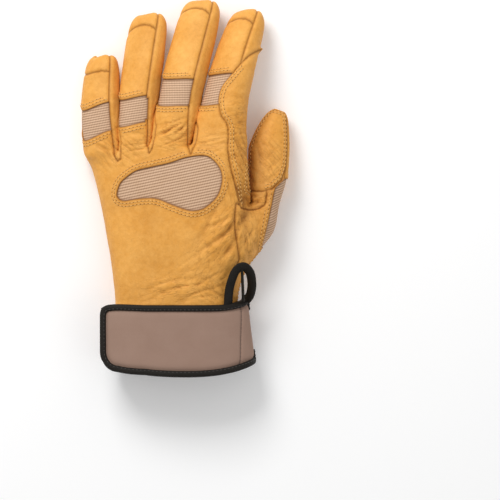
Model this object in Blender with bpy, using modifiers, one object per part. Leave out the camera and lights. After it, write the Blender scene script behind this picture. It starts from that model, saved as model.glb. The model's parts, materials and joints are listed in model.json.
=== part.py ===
"""A left-hand belay glove in golden leather, lying palm down.

Metres, +Z up. The fingers point along +Y and the thumb side is at +X. The origin is on the
surface that the glove lies on, under the middle of the glove.

The glove's outer surface is one coarse cage: rings round the cuff and the hand, four fingers
and a thumb. Subdivision rounds it, and each sewn panel is a wall of that surface with a narrow
gap along its seams. The strap is a second surface, made in the same way.
"""

import math

import bmesh
import bpy
from mathutils import Vector

# The hand, from the cuff's seam to the webs
PALM_LENGTH = 0.104
PALM_WIDTH = 0.103
PALM_THICKNESS = 0.0325
PALM_CENTRE_X = -0.0105
WEB_LINE_Y = 0.0265

# The cuff and the parts on it
CUFF_HEIGHT = 0.0390
CUFF_BINDING = 0.0062
CUFF_BAND_RISE = 0.0006
CUFF_BINDING_RISE = 0.0012
TAB_HOLE_WIDTH = 0.0150
TAB_HOLE_LENGTH = 0.0195
RIM_RADIUS = 0.0015
HOLE_CUT_DEPTH = 0.008

# Digits, from the web to the tip, and across at the widest
PINKY_LENGTH = 0.0650
RING_LENGTH = 0.0895
MIDDLE_LENGTH = 0.0985
INDEX_LENGTH = 0.0945
PINKY_WIDTH = 0.0250
RING_WIDTH = 0.0258
MIDDLE_WIDTH = 0.0280
INDEX_WIDTH = 0.0290
FINGER_THICKNESS = 0.0215
THUMB_WIDTH = 0.0265
THUMB_THICKNESS = 0.0240

# Walls
LEATHER = 0.0015
KNIT = 0.0012
NEOPRENE = 0.0026
BINDING = 0.0034
PATCH_RISE = 0.0008
KNIT_DROP = 0.0004
SEAM_GAP = 0.00032

# The strap over the back of the cuff
STRAP_HEIGHT = 0.0380
STRAP_THICKNESS = 0.0028
STRAP_BINDING = 0.0042
STRAP_BINDING_RISE = 0.0005
STRAP_CLEARANCE = 0.0021
STRAP_OVERHANG = 0.0070
STRAP_TIP_RADIUS = 0.0075
STRAP_FLARE = 0.0090
STRAP_LIFT = 0.0015
STRAP_START, STRAP_END = math.radians(-12), math.radians(134)
STRAP_STATIONS = 10

# The pull loop, a flat tape
LOOP_WIDTH = 0.0153
LOOP_HEIGHT = 0.0225
LOOP_RISE = 0.0100
LOOP_TAPE = 0.0072
LOOP_TAPE_THICKNESS = 0.0020
LOOP_ROOT_INSET = 0.0064
LOOP_LIFT = 0.0040
LOOP_CLEARANCE = 0.0004
LOOP_CONE = 1.0

# A subdivided octagon draws in to this share of its cage
OCTAGON_DRAW_IN = 0.902
SUBDIVISIONS = 1

GOLD = (0.62, 0.33, 0.075, 1.0)
TAN = (0.42, 0.30, 0.22, 1.0)
MAUVE = (0.33, 0.235, 0.19, 1.0)
BLACK = (0.012, 0.012, 0.013, 1.0)

# One row for each finger. across is the base's place as a share of half the palm's width from its
# centre line, set_back a share of the palm's length back from the web line, and height a share of
# the palm's thickness. lean and pitch are the headings at the web and at the tip, in degrees.
FINGER_COLUMNS = (
    "name", "length", "width", "across", "set_back", "height",
    "lean", "tip_lean", "pitch", "tip_pitch", "roll",
)
FINGERS = [dict(zip(FINGER_COLUMNS, row)) for row in (
    ("pinky", PINKY_LENGTH, PINKY_WIDTH, -0.812, 0.042, 0.43, -9, 8, 0, -6, 17),
    ("ring", RING_LENGTH, RING_WIDTH, -0.396, 0.005, 0.62, -1, 13, 4, -19, 23),
    ("middle", MIDDLE_LENGTH, MIDDLE_WIDTH, 0.039, -0.018, 0.80, 9, 17, 3, -24, 20),
    ("index", INDEX_LENGTH, INDEX_WIDTH, 0.650, -0.008, 0.93, 3, 24, 0, -29, 31),
)]

# The seams of each finger as shares of its length: the knit insert's two edges on the back, how far
# they slant towards the outer side, and the fingertip's cap
SEAM_COLUMNS = ("knit_from", "knit_to", "slant", "cap_from")
SEAM_ROWS = (
    (0.210, 0.475, 0.076, 0.830),
    (0.183, 0.380, 0.039, 0.870),
    (0.258, 0.440, 0.030, 0.895),
    (0.290, 0.515, 0.030, 0.905),
)
for finger, row in zip(FINGERS, SEAM_ROWS):
    finger.update(zip(SEAM_COLUMNS, row))

# One row for each ring of a finger after its base. A number in "at" is a share of the length, and a
# name is one of the seams above. Each palm-side seam lies at palm_shift from the one on the back.
RING_COLUMNS = ("at", "palm_shift", "thickness")
FINGER_RINGS = [dict(zip(RING_COLUMNS, row)) for row in (
    (0.100, 0.000, 1.00),
    ("knit_from", 0.050, 1.00),
    ("knit_to", 0.040, 0.96),
    ("cap_from", -0.030, 0.79),
    (0.972, -0.010, 0.56),
    (1.000, 0.000, 0.30),
)]
KNIT_RING, BACK_RING, CAP_RING = 1, 2, 3

# Widths of each finger at its base and at each of those rings, as shares of its width
WIDTH_ROWS = (
    (1.00, 1.03, 1.02, 1.00, 0.93, 0.74, 0.46),
    (0.80, 0.84, 0.90, 0.99, 1.01, 0.84, 0.52),
    (0.86, 0.90, 0.95, 1.00, 0.97, 0.80, 0.50),
    (1.12, 1.10, 1.04, 1.00, 0.89, 0.70, 0.42),
)
BASE_THICKNESS = 1.06
WEB_PINCH = 0.22

# The corners of a finger's ring, clockwise from its inner side as shares of half its width and
# half its thickness. Corners 1, 3, 5 and 7 carry the seams.
RING_CORNERS = (
    (-1.0, -0.04), (-0.82, 0.76), (-0.08, 1.04), (0.68, 0.89),
    (1.0, 0.06), (0.78, -0.80), (0.0, -1.02), (-0.76, -0.82),
)

# Where each finger's three columns lie across the hand, as shares of half its width
BACK_SHARES = (
    (-0.905, -0.775, -0.622), (-0.570, -0.410, -0.245),
    (-0.178, 0.020, 0.225), (0.300, 0.575, 0.830),
)
PALM_SHARES = (
    (-0.900, -0.775, -0.640), (-0.545, -0.405, -0.268),
    (-0.160, 0.020, 0.190), (0.318, 0.540, 0.765),
)

# One row for each ring of the hand. at and palm_at are shares of the palm's length from the cuff to
# the webs, on the back and on the palm side. inner and outer are the edges as shares of half the
# palm's width, height and thickness shares of the palm's, and roll is in degrees. ball is how far
# the ball of the thumb hangs at the outer edge, as a share of the palm's thickness.
PALM_COLUMNS = ("at", "palm_at", "inner", "outer", "height", "thickness", "roll", "ball")
PALM_RINGS = [dict(zip(PALM_COLUMNS, row)) for row in (
    (0.000, 0.000, -0.660, 0.875, 0.540, 1.040, 3.0, 0.00),
    (0.125, 0.150, -0.685, 0.905, 0.560, 1.010, 5.5, 0.05),
    (0.270, 0.345, -0.722, 1.040, 0.620, 1.030, 9.0, 0.20),
    (0.450, 0.490, -0.790, 1.000, 0.680, 1.020, 12.0, 0.35),
    (0.640, 0.650, -0.865, 1.050, 0.720, 0.970, 14.0, 0.34),
    (0.800, 0.800, -0.928, 1.010, 0.725, 0.900, 14.5, 0.16),
    (0.958, 0.930, -1.005, 1.010, 0.715, 0.840, 15.0, 0.04),
)]
BALL_START = 0.3
THUMB_ROOT_RINGS = (2, 3, 4)

# One row for each ring of the cuff, from the mouth up. at is a share of the cuff's height.
CUFF_COLUMNS = ("at", "inner", "outer", "height", "thickness", "roll")
CUFF_RINGS = [dict(zip(CUFF_COLUMNS, row)) for row in (
    (0.000, -0.755, 0.975, 0.560, 1.090, 0.0),
    (CUFF_BINDING / CUFF_HEIGHT, -0.748, 0.970, 0.558, 1.085, 0.0),
    (0.560, -0.705, 0.925, 0.550, 1.060, 1.0),
)]
SECTION_POWER = 2.5
EDGE_SWELL = 1.035

# One row for each ring of the thumb. Its centre is a share of half the palm's width from the palm's
# centre line, of the palm's length from the cuff and of the palm's thickness. heading is in degrees
# from +Y towards +X, width and thickness are shares of the thumb's, roll is in degrees, and slant
# moves the outer corners on towards the tip, as a share of the thumb's width.
THUMB_COLUMNS = ("across", "along", "height", "heading", "width", "thickness", "roll", "slant")
THUMB_RINGS = [dict(zip(THUMB_COLUMNS, row)) for row in (
    (1.200, 0.542, 0.480, 54, 0.96, 1.06, 2, 0.0),
    (1.280, 0.706, 0.430, 15, 0.87, 1.02, -6, 0.30),
    (1.290, 0.856, 0.395, 4, 0.86, 0.97, -14, 0.0),
    (1.290, 1.005, 0.370, 7, 0.94, 0.92, -18, 0.0),
    (1.325, 1.118, 0.345, 13, 0.78, 0.76, -18, 0.0),
    (1.378, 1.200, 0.325, 18, 0.54, 0.56, -18, 0.0),
    (1.405, 1.234, 0.315, 20, 0.26, 0.30, -18, 0.0),
)]


def material(name, colour, roughness):
    made = bpy.data.materials.new(name)
    made.use_nodes = True
    shader = made.node_tree.nodes["Principled BSDF"]
    shader.inputs["Base Color"].default_value = colour
    shader.inputs["Roughness"].default_value = roughness
    shader.inputs["Metallic"].default_value = 0.0
    return made


def collection(name):
    made = bpy.data.collections.new(name)
    bpy.context.scene.collection.children.link(made)
    return made


def superellipse(share):
    """Height of the hand's section, as a share of its half thickness, at this share of its half width."""
    return (1 - min(abs(share), 1.0) ** SECTION_POWER) ** (1 / SECTION_POWER)


class Cage:
    """The coarse mesh, whose faces remember the panel that they belong to."""

    def __init__(self):
        self.mesh = bmesh.new()
        self.panels = []

    def point(self, place):
        return self.mesh.verts.new(place)

    def face(self, corners, panel):
        made = self.mesh.faces.new(corners)
        if panel not in self.panels:
            self.panels.append(panel)
        made.material_index = self.panels.index(panel)

    def tube(self, first, second, panel_of):
        """Joins two rings, corner to corner. panel_of gives the panel of the face after each corner."""
        count = len(first)
        for corner in range(count):
            after = (corner + 1) % count
            panel = panel_of(corner)
            if panel:
                self.face((first[corner], second[corner], second[after], first[after]), panel)


def finger_frames(finger):
    """The finger's centre line: a function from a share of its length to a centre, side and up."""
    steps = 24
    base = Vector((
        PALM_CENTRE_X + finger["across"] * PALM_WIDTH / 2,
        WEB_LINE_Y - finger["set_back"] * PALM_LENGTH,
        finger["height"] * PALM_THICKNESS,
    ))

    def heading(share):
        lean = math.radians(finger["lean"] + (finger["tip_lean"] - finger["lean"]) * share)
        pitch = math.radians(finger["pitch"] + (finger["tip_pitch"] - finger["pitch"]) * share)
        return Vector((math.sin(lean) * math.cos(pitch), math.cos(lean) * math.cos(pitch), math.sin(pitch)))

    def frame(share):
        place = base.copy()
        for step in range(steps):
            place += heading(share * (step + 0.5) / steps) * (finger["length"] * share / steps)
        along = heading(share)
        side = along.cross(Vector((0, 0, 1))).normalized()
        up = side.cross(along)
        turn = math.radians(finger["roll"]) * min(1.0, 0.45 + share)
        rolled = side * math.cos(turn) + up * math.sin(turn)
        return place, rolled, rolled.cross(along)

    return frame


def ring_point(frame, corner, half_width, half_thickness):
    centre, side, up = frame
    across, rise = RING_CORNERS[corner]
    return centre + side * (across * half_width) + up * (rise * half_thickness)


def finger_ring(cage, finger, ring, width):
    """One ring of a finger. Its back and palm sides may lie at different shares of the length."""
    frame = finger_frames(finger)
    half_width = finger["width"] * width / 2 / OCTAGON_DRAW_IN
    half_thickness = FINGER_THICKNESS * ring["thickness"] / 2 / OCTAGON_DRAW_IN
    at = finger.get(ring["at"], ring["at"])
    points = []
    for corner, (across, rise) in enumerate(RING_CORNERS):
        share = at + ring["palm_shift"] * (1 - rise) / 2
        if rise > 0.5:
            share += finger["slant"] * across
        points.append(cage.point(ring_point(frame(min(share, 1.0)), corner, half_width, half_thickness)))
    return points


def web_rings(cage):
    """The rings where the four fingers leave the hand, with the webs' corners drawn together."""
    places = []
    for finger, widths in zip(FINGERS, WIDTH_ROWS):
        frame = finger_frames(finger)(0.0)
        half_width = finger["width"] * widths[0] / 2 / OCTAGON_DRAW_IN
        half_thickness = FINGER_THICKNESS * BASE_THICKNESS / 2 / OCTAGON_DRAW_IN
        places.append([ring_point(frame, corner, half_width, half_thickness) for corner in range(8)])
    for inner, outer in zip(places, places[1:]):
        inner_middle = (inner[3] + inner[5]) / 2
        outer_middle = (outer[1] + outer[7]) / 2
        inner[4] = inner_middle.lerp(outer_middle, WEB_PINCH)
        outer[0] = inner_middle.lerp(outer_middle, 1 - WEB_PINCH)
    return [[cage.point(place) for place in ring] for ring in places]


def finger_panel(finger, after, corner):
    """The panel of the face after this corner, on the stretch that ends at ring number after."""
    name = finger["name"]
    number = FINGERS.index(finger)
    on_back, on_palm = corner in (1, 2), corner in (5, 6)
    if on_back:
        if after > CAP_RING:
            return f"{name}_tip"
        if after > BACK_RING:
            return f"{name}_back"
        return f"{name}_knit" if after > KNIT_RING else "back_panel"
    if on_palm:
        if after > CAP_RING:
            return f"{name}_tip"
        if after > BACK_RING:
            return f"{name}_pad"
        return f"{name}_crease" if after > KNIT_RING else "palm_patch"
    if corner in (3, 4):
        if number < len(FINGERS) - 1:
            return f"web_{name}_{FINGERS[number + 1]['name']}"
        return "index_side" if after <= BACK_RING else "index_end_side"
    if number > 0:
        return f"web_{FINGERS[number - 1]['name']}_{name}"
    return "pinky_side"


def close_tip(cage, ring, finger_name, panel_of):
    """Closes a ring of eight: two faces down the middle, and a triangle at each side."""
    cage.face((ring[1], ring[2], ring[6], ring[7]), f"{finger_name}_tip")
    cage.face((ring[2], ring[3], ring[5], ring[6]), f"{finger_name}_tip")
    cage.face((ring[7], ring[0], ring[1]), panel_of(0))
    cage.face((ring[3], ring[4], ring[5]), panel_of(3))


def section_point(ring, share, side, y):
    """A point of a hand or cuff ring. side is 1 on the back, -1 on the palm and 0 at an edge."""
    half = PALM_WIDTH / 2
    centre_x = PALM_CENTRE_X + half * (ring["inner"] + ring["outer"]) / 2
    half_width = half * (ring["outer"] - ring["inner"]) / 2 * EDGE_SWELL
    half_thickness = PALM_THICKNESS * ring["thickness"] / 2 * EDGE_SWELL
    roll = math.radians(ring["roll"])
    across = share * half_width
    rise = side * half_thickness * superellipse(share)
    drop = 0.0
    if side <= 0:
        drop = ring.get("ball", 0.0) * PALM_THICKNESS * max(0.0, (share - BALL_START) / (1 - BALL_START)) ** 2
    return Vector((
        centre_x + across * math.cos(roll) - rise * math.sin(roll),
        y,
        ring["height"] * PALM_THICKNESS + across * math.sin(roll) + rise * math.cos(roll) - drop,
    ))


def hand_ring(cage, ring, base_rows):
    """A closed ring of the hand: inner edge, the back's columns, outer edge, the palm's columns.
    base_rows gives each finger's base in y, or is None on the cuff, whose rings are level."""
    cuff_y = WEB_LINE_Y - PALM_LENGTH

    def level(number, at):
        if base_rows is None:
            return cuff_y - CUFF_HEIGHT * (1 - ring["at"])
        return cuff_y + ring[at] * (base_rows[number] - cuff_y)

    last = len(FINGERS) - 1
    points = [section_point(ring, -1, 0, level(0, "at"))]
    for number, shares in enumerate(BACK_SHARES):
        points += [section_point(ring, share, 1, level(number, "at")) for share in shares]
    points.append(section_point(ring, 1, 0, level(last, "at")))
    for number, shares in reversed(list(enumerate(PALM_SHARES))):
        points += [section_point(ring, share, -1, level(number, "palm_at")) for share in reversed(shares)]
    return [cage.point(place) for place in points]


def ring_size():
    return 2 * (1 + sum(len(shares) for shares in BACK_SHARES))


def columns():
    """Corner numbers of the hand's ring: inner edge, back columns, outer edge, palm columns."""
    count = sum(len(shares) for shares in BACK_SHARES)
    outer = count + 1
    back = [[1 + 3 * number + place for place in range(3)] for number in range(len(FINGERS))]
    palm = [[ring_size() - (1 + 3 * number + place) for place in range(3)] for number in range(len(FINGERS))]
    return back, outer, palm


def palm_panel(number, corner):
    """The panel of the face after this corner of the hand's ring, on the stretch above ring number."""
    back, outer, palm = columns()
    last_stretch = number == len(PALM_RINGS) - 1
    if number in THUMB_ROOT_RINGS[:2] and corner in (outer - 1, outer):
        return None
    if corner in (outer - 1, outer):
        if number >= THUMB_ROOT_RINGS[0]:
            return "index_side"
        return "thenar_knit" if corner == outer else "thumb_base"
    if last_stretch:
        for first, second in zip(FINGERS, FINGERS[1:]):
            place = FINGERS.index(first)
            if corner in (back[place][2], palm[place + 1][0]):
                return f"web_{first['name']}_{second['name']}"
    if corner < outer:
        return "back_panel"
    if corner == ring_size() - 1:
        return "hand_side"
    return "heel_panel" if number < THUMB_ROOT_RINGS[0] else "palm_patch"


def cuff_panel(number, corner):
    _, _, palm = columns()
    if number == 0:
        return "cuff_binding"
    if palm[2][2] <= corner < palm[1][1]:
        return "cuff_tab"
    return "cuff_band"


def join_fingers(cage, last_ring, bases):
    """Joins the hand's last ring to the fingers' base rings, and closes the webs between them."""
    back, outer, palm = columns()
    upper = {0: bases[0][0], outer: bases[-1][4]}
    for number, base in enumerate(bases):
        for place, corner in enumerate((1, 2, 3)):
            upper[back[number][place]] = base[corner]
        for place, corner in enumerate((7, 6, 5)):
            upper[palm[number][place]] = base[corner]
    cage.tube(last_ring, [upper[corner] for corner in range(ring_size())],
              lambda corner: palm_panel(len(PALM_RINGS) - 1, corner))
    for number, (inner, outer_base) in enumerate(zip(bases, bases[1:])):
        panel = f"web_{FINGERS[number]['name']}_{FINGERS[number + 1]['name']}"
        cage.face((inner[3], inner[4], outer_base[0], outer_base[1]), panel)
        cage.face((inner[4], inner[5], outer_base[7], outer_base[0]), panel)


def thumb_panel(after, corner):
    """The thumb's panels: the knit up its outer side, the patch on its back, the pad below."""
    if after == 0:
        return ("index_side", "thumb_base", "thumb_base", "thumb_base",
                "thenar_knit", "palm_patch", "palm_patch", "palm_patch")[corner]
    if after == 1:
        return ("thumb_patch", "thumb_base", "thumb_base", "thenar_knit",
                "thenar_knit", "thumb_pad", "thumb_pad", "thumb_pad")[corner]
    return "thumb_patch" if corner in (0, 1, 2) else "thumb_pad"


def thumb(cage, rings):
    """The thumb leaves the hand's outer side, between three of its rings."""
    back, outer, palm = columns()
    low, middle, high = (rings[number] for number in THUMB_ROOT_RINGS)
    back_column, palm_column = back[-1][2], palm[-1][2]
    root = [high[outer], high[back_column], middle[back_column], low[back_column],
            low[outer], low[palm_column], middle[palm_column], high[palm_column]]
    before = root
    for number, ring in enumerate(THUMB_RINGS):
        turn = math.radians(ring["heading"])
        along = Vector((math.sin(turn), math.cos(turn), 0))
        side = Vector((math.cos(turn), -math.sin(turn), 0))
        roll = math.radians(ring["roll"])
        rolled = side * math.cos(roll) + Vector((0, 0, 1)) * math.sin(roll)
        place = Vector((
            PALM_CENTRE_X + ring["across"] * PALM_WIDTH / 2,
            WEB_LINE_Y - PALM_LENGTH * (1 - ring["along"]),
            ring["height"] * PALM_THICKNESS,
        ))
        frame = (place, rolled, rolled.cross(along))
        half_width = THUMB_WIDTH * ring["width"] / 2 / OCTAGON_DRAW_IN
        half_thickness = THUMB_THICKNESS * ring["thickness"] / 2 / OCTAGON_DRAW_IN
        points = []
        for corner, (across, rise) in enumerate(RING_CORNERS):
            onward = along * (ring["slant"] * THUMB_WIDTH * across if rise > 0.5 else 0.0)
            points.append(cage.point(ring_point(frame, corner, half_width, half_thickness) + onward))
        cage.tube(before, points, lambda corner, after=number: thumb_panel(after, corner))
        before = points
    cage.face((before[7], before[0], before[1]), "thumb_pad")
    cage.face((before[1], before[2], before[6], before[7]), "thumb_pad")
    cage.face((before[2], before[3], before[5], before[6]), "thumb_pad")
    cage.face((before[3], before[4], before[5]), "thumb_pad")


def glove_cage():
    cage = Cage()
    bases = web_rings(cage)
    base_rows = [(base[1].co.y + base[7].co.y) / 2 for base in bases]
    cuff = [hand_ring(cage, ring, None) for ring in CUFF_RINGS]
    rings = [hand_ring(cage, ring, base_rows) for ring in PALM_RINGS]
    for number, (lower, upper) in enumerate(zip(cuff, cuff[1:] + rings[:1])):
        cage.tube(lower, upper, lambda corner, place=number: cuff_panel(place, corner))
    for number, (lower, upper) in enumerate(zip(rings, rings[1:])):
        cage.tube(lower, upper, lambda corner, place=number: palm_panel(place, corner))
    join_fingers(cage, rings[-1], bases)
    for finger, widths, base in zip(FINGERS, WIDTH_ROWS, bases):
        before = base
        for number, ring in enumerate(FINGER_RINGS):
            points = finger_ring(cage, finger, ring, widths[number + 1])
            cage.tube(before, points, lambda corner, f=finger, after=number: finger_panel(f, after, corner))
            before = points
        close_tip(cage, before, finger["name"], lambda corner, f=finger: finger_panel(f, CAP_RING + 1, corner))
    thumb(cage, rings)
    return cage


def subdivided(cage, name, helpers, levels):
    """The cage's rounded surface as a bmesh. The cage stays as a hidden guide."""
    bmesh.ops.recalc_face_normals(cage.mesh, faces=cage.mesh.faces)
    data = bpy.data.meshes.new(name)
    cage.mesh.to_mesh(data)
    cage.mesh.free()
    guide = bpy.data.objects.new(name, data)
    helpers.objects.link(guide)
    guide.hide_render = True
    guide.display_type = "WIRE"
    rounding = guide.modifiers.new("rounding", "SUBSURF")
    rounding.levels = rounding.render_levels = levels
    bpy.context.view_layer.update()
    rounded = bpy.data.meshes.new_from_object(guide.evaluated_get(bpy.context.evaluated_depsgraph_get()))
    surface = bmesh.new()
    surface.from_mesh(rounded)
    bpy.data.meshes.remove(rounded)
    return surface


def lay_down(surface, height):
    """Flattens whatever would reach below this height."""
    for vert in surface.verts:
        vert.co.z = max(vert.co.z, height)
    surface.normal_update()


def seam_shift(vert, faces):
    """How far a corner on a panel's edge moves into the panel, to leave half the seam's gap."""
    inward = []
    for edge in vert.link_edges:
        beside = [face for face in edge.link_faces if face in faces]
        if len(beside) != 1:
            continue
        along = (edge.verts[1].co - edge.verts[0].co).normalized()
        to_face = beside[0].calc_center_median() - edge.verts[0].co
        inward.append((to_face - along * to_face.dot(along)).normalized())
    if not inward:
        return Vector()
    total = sum(inward, Vector())
    spread = 1 + inward[0].dot(inward[-1]) if len(inward) == 2 else len(inward)
    return total / max(spread, 0.5) * (SEAM_GAP / 2)


def wall(glove, surface, cage_panels, name, finish, thickness, rise=0.0, sole=0.0):
    """One panel as a solid of its own: the surface's faces, the same faces set inwards, and a rim.
    Neighbouring panels share the surface's normals, so their rims stay parallel. rise lifts the
    whole panel, and sole only what faces down and is inside its seams."""
    faces = {face for face in surface.faces if cage_panels[face.material_index] == name}
    made = bmesh.new()
    outer, inner = {}, {}
    for vert in {vert for face in faces for vert in face.verts}:
        shift = seam_shift(vert, faces)
        lift = rise + (0.0 if shift.length else sole * max(0.0, -vert.normal.z))
        top = vert.co + vert.normal * lift + shift
        flat = sole and not shift.length and vert.co.z <= PATCH_RISE + 1e-6
        top.z = 0.0 if flat else max(top.z, 0.0)
        outer[vert] = made.verts.new(top)
        inner[vert] = made.verts.new(vert.co - vert.normal * thickness + shift)
    for face in faces:
        made.faces.new([outer[vert] for vert in face.verts])
        made.faces.new([inner[vert] for vert in reversed(face.verts)])
        for loop in face.loops:
            if sum(other in faces for other in loop.edge.link_faces) == 1:
                first, second = loop.vert, loop.link_loop_next.vert
                made.faces.new((outer[second], outer[first], inner[first], inner[second]))
    return add_panel(glove, made, name, finish)


def add_panel(glove, made, name, finish):
    """Puts the mesh in the scene as an object whose origin is at its own middle."""
    bmesh.ops.recalc_face_normals(made, faces=made.faces)
    middle = sum((vert.co for vert in made.verts), Vector()) / len(made.verts)
    bmesh.ops.translate(made, verts=made.verts, vec=-middle)
    data = bpy.data.meshes.new(name)
    made.to_mesh(data)
    made.free()
    data.materials.append(finish)
    data.polygons.foreach_set("material_index", [0] * len(data.polygons))
    data.shade_smooth()
    data.set_sharp_from_angle(angle=math.radians(40))
    panel = bpy.data.objects.new(name, data)
    panel.location = middle
    panel.parent = glove["empty"]
    glove["parts"].objects.link(panel)
    return panel


def strap_cage():
    """The strap's surface: from the cuff's outer side over its back, and on past its inner side."""
    cage = Cage()
    top_y = WEB_LINE_Y - PALM_LENGTH + STRAP_LIFT
    rows = []
    band = STRAP_BINDING / STRAP_HEIGHT
    for share in (0.0, band, 1 - band, 1.0):
        ring_low, ring_high = CUFF_RINGS[0], PALM_RINGS[0]
        ring = {key: ring_high[key] + (ring_low[key] - ring_high[key]) * share
                for key in ("inner", "outer", "height", "thickness", "roll")}
        half = PALM_WIDTH / 2
        centre_x = PALM_CENTRE_X + half * (ring["inner"] + ring["outer"]) / 2
        clear = CUFF_BINDING_RISE + STRAP_CLEARANCE
        half_width = half * (ring["outer"] - ring["inner"]) / 2 + clear
        half_thickness = PALM_THICKNESS * ring["thickness"] / 2 + clear
        centre_z = ring["height"] * PALM_THICKNESS
        path = []
        for station in range(STRAP_STATIONS):
            turn = STRAP_START + (STRAP_END - STRAP_START) * station / (STRAP_STATIONS - 1)
            power = 2 / SECTION_POWER
            across = math.copysign(abs(math.cos(turn)) ** power, math.cos(turn))
            rise = math.copysign(abs(math.sin(turn)) ** power, math.sin(turn))
            path.append(Vector((centre_x + half_width * across, 0, centre_z + half_thickness * rise)))
        onward = (path[-1] - path[-2]).normalized()
        free_end = STRAP_OVERHANG + half_width * 0.22
        for step in (0.4, 1 - STRAP_BINDING / free_end, 1.0):
            drop = Vector((0, 0, -0.10 * free_end * step))
            path.append(path[STRAP_STATIONS - 1] + onward * (free_end * step) - drop)
        row = []
        for number, place in enumerate(path):
            along = number / (len(path) - 1)
            y = top_y - STRAP_HEIGHT * share
            y -= STRAP_FLARE * share * math.sin(math.pi * along) ** 2
            y += STRAP_FLARE * 0.6 * (1 - share) * max(0.0, 1 - 3 * along)
            if share in (0.0, 1.0) and number >= len(path) - 2:
                y += STRAP_TIP_RADIUS * (share - 0.5) * (1.0 if number == len(path) - 1 else 0.2)
            row.append(cage.point(Vector((place.x, y, place.z))))
        rows.append(row)
    last_column = len(rows[0]) - 2
    for number, (upper, lower) in enumerate(zip(rows, rows[1:])):
        for column in range(len(upper) - 1):
            edge = number in (0, len(rows) - 2) or column == last_column
            cage.face((upper[column], lower[column], lower[column + 1], upper[column + 1]),
                      "strap_binding" if edge else "strap")
    return cage


def facing(surface, direction):
    """Turns an open surface so that its faces point, on the whole, along this direction."""
    total = sum((face.normal * face.calc_area() for face in surface.faces), Vector())
    if total.dot(direction) < 0:
        bmesh.ops.reverse_faces(surface, faces=surface.faces)
    surface.normal_update()


def outline_prism(glove, name, points, low, high):
    """A hidden cutter: a flat outline with straight sides from low to high."""
    made = bmesh.new()
    bottom = [made.verts.new((x, y, low)) for x, y in points]
    face = made.faces.new(bottom)
    raised = bmesh.ops.extrude_face_region(made, geom=[face])
    lifted = [item for item in raised["geom"] if isinstance(item, bmesh.types.BMVert)]
    bmesh.ops.translate(made, verts=lifted, vec=(0, 0, high - low))
    bmesh.ops.recalc_face_normals(made, faces=made.faces)
    data = bpy.data.meshes.new(name)
    made.to_mesh(data)
    made.free()
    cutter = bpy.data.objects.new(name, data)
    cutter.hide_render = True
    cutter.display_type = "WIRE"
    glove["helpers"].objects.link(cutter)
    return cutter


def cut(panel, cutter, operation="DIFFERENCE"):
    boolean = panel.modifiers.new(cutter.name, "BOOLEAN")
    boolean.operation = operation
    boolean.object = cutter
    boolean.solver = "EXACT"


# The knuckle window's outline, from its inner end round its far side, as shares of half the palm's
# width from the palm's centre line and of the palm's length from the cuff
KNUCKLE_OUTLINE = (
    (-0.654, 0.714), (-0.617, 0.770), (-0.553, 0.804), (-0.415, 0.851), (-0.213, 0.876), (0.015, 0.901),
    (0.235, 0.936), (0.456, 0.945), (0.570, 0.914), (0.658, 0.851), (0.671, 0.776), (0.608, 0.689),
    (0.456, 0.620), (0.325, 0.601), (0.217, 0.608), (0.027, 0.642), (-0.150, 0.676), (-0.326, 0.679),
    (-0.560, 0.664), (-0.642, 0.683),
)


def smooth_outline(points, steps):
    """Points of a closed curve through these, with steps to each stretch."""
    count = len(points)
    made = []
    for number in range(count):
        before, first, second, after = (Vector(points[(number + offset) % count]) for offset in (-1, 0, 1, 2))
        for step in range(steps):
            t = step / steps
            made.append(0.5 * (2 * first + (second - before) * t
                               + (2 * before - 5 * first + 4 * second - after) * t * t
                               + (3 * first - before - 3 * second + after) * t ** 3))
    return made


def shrunk(points, distance):
    """The outline moved inwards, or outwards for a negative distance. It runs clockwise."""
    count = len(points)
    made = []
    for number in range(count):
        along = (points[(number + 1) % count] - points[number - 1]).normalized()
        made.append(points[number] + Vector((along.y, -along.x)) * distance)
    return made


def knuckle_outline():
    half = PALM_WIDTH / 2
    cuff_y = WEB_LINE_Y - PALM_LENGTH
    places = [(PALM_CENTRE_X + x * half, cuff_y + y * PALM_LENGTH) for x, y in KNUCKLE_OUTLINE]
    return smooth_outline(places, 1)


def knuckle_window(glove, surface, panels, finishes):
    """The back panel with its window, and the knit set into it."""
    low, high = 0.5 * PALM_THICKNESS, 3 * PALM_THICKNESS
    outline = knuckle_outline()
    back = wall(glove, surface, panels, "back_panel", finishes["leather"], LEATHER)
    cut(back, outline_prism(glove, "knuckle_window", outline, low, high))
    knit = wall(glove, surface, panels, "back_panel", finishes["knit"], KNIT, -KNIT_DROP)
    knit.name = knit.data.name = "knuckle_knit"
    cut(knit, outline_prism(glove, "knuckle_patch", shrunk(outline, SEAM_GAP), low, high), "INTERSECT")


def oval(centre, width, length, count):
    """A long hole's outline: two half circles joined by straight sides, clockwise from above."""
    radius = width / 2
    straight = (length - width) / 2
    made = []
    for number in range(count):
        turn = -2 * math.pi * (number + 0.5) / count
        y = math.sin(turn)
        made.append(centre + Vector((radius * math.cos(turn), radius * y + math.copysign(straight, y))))
    return made


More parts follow.
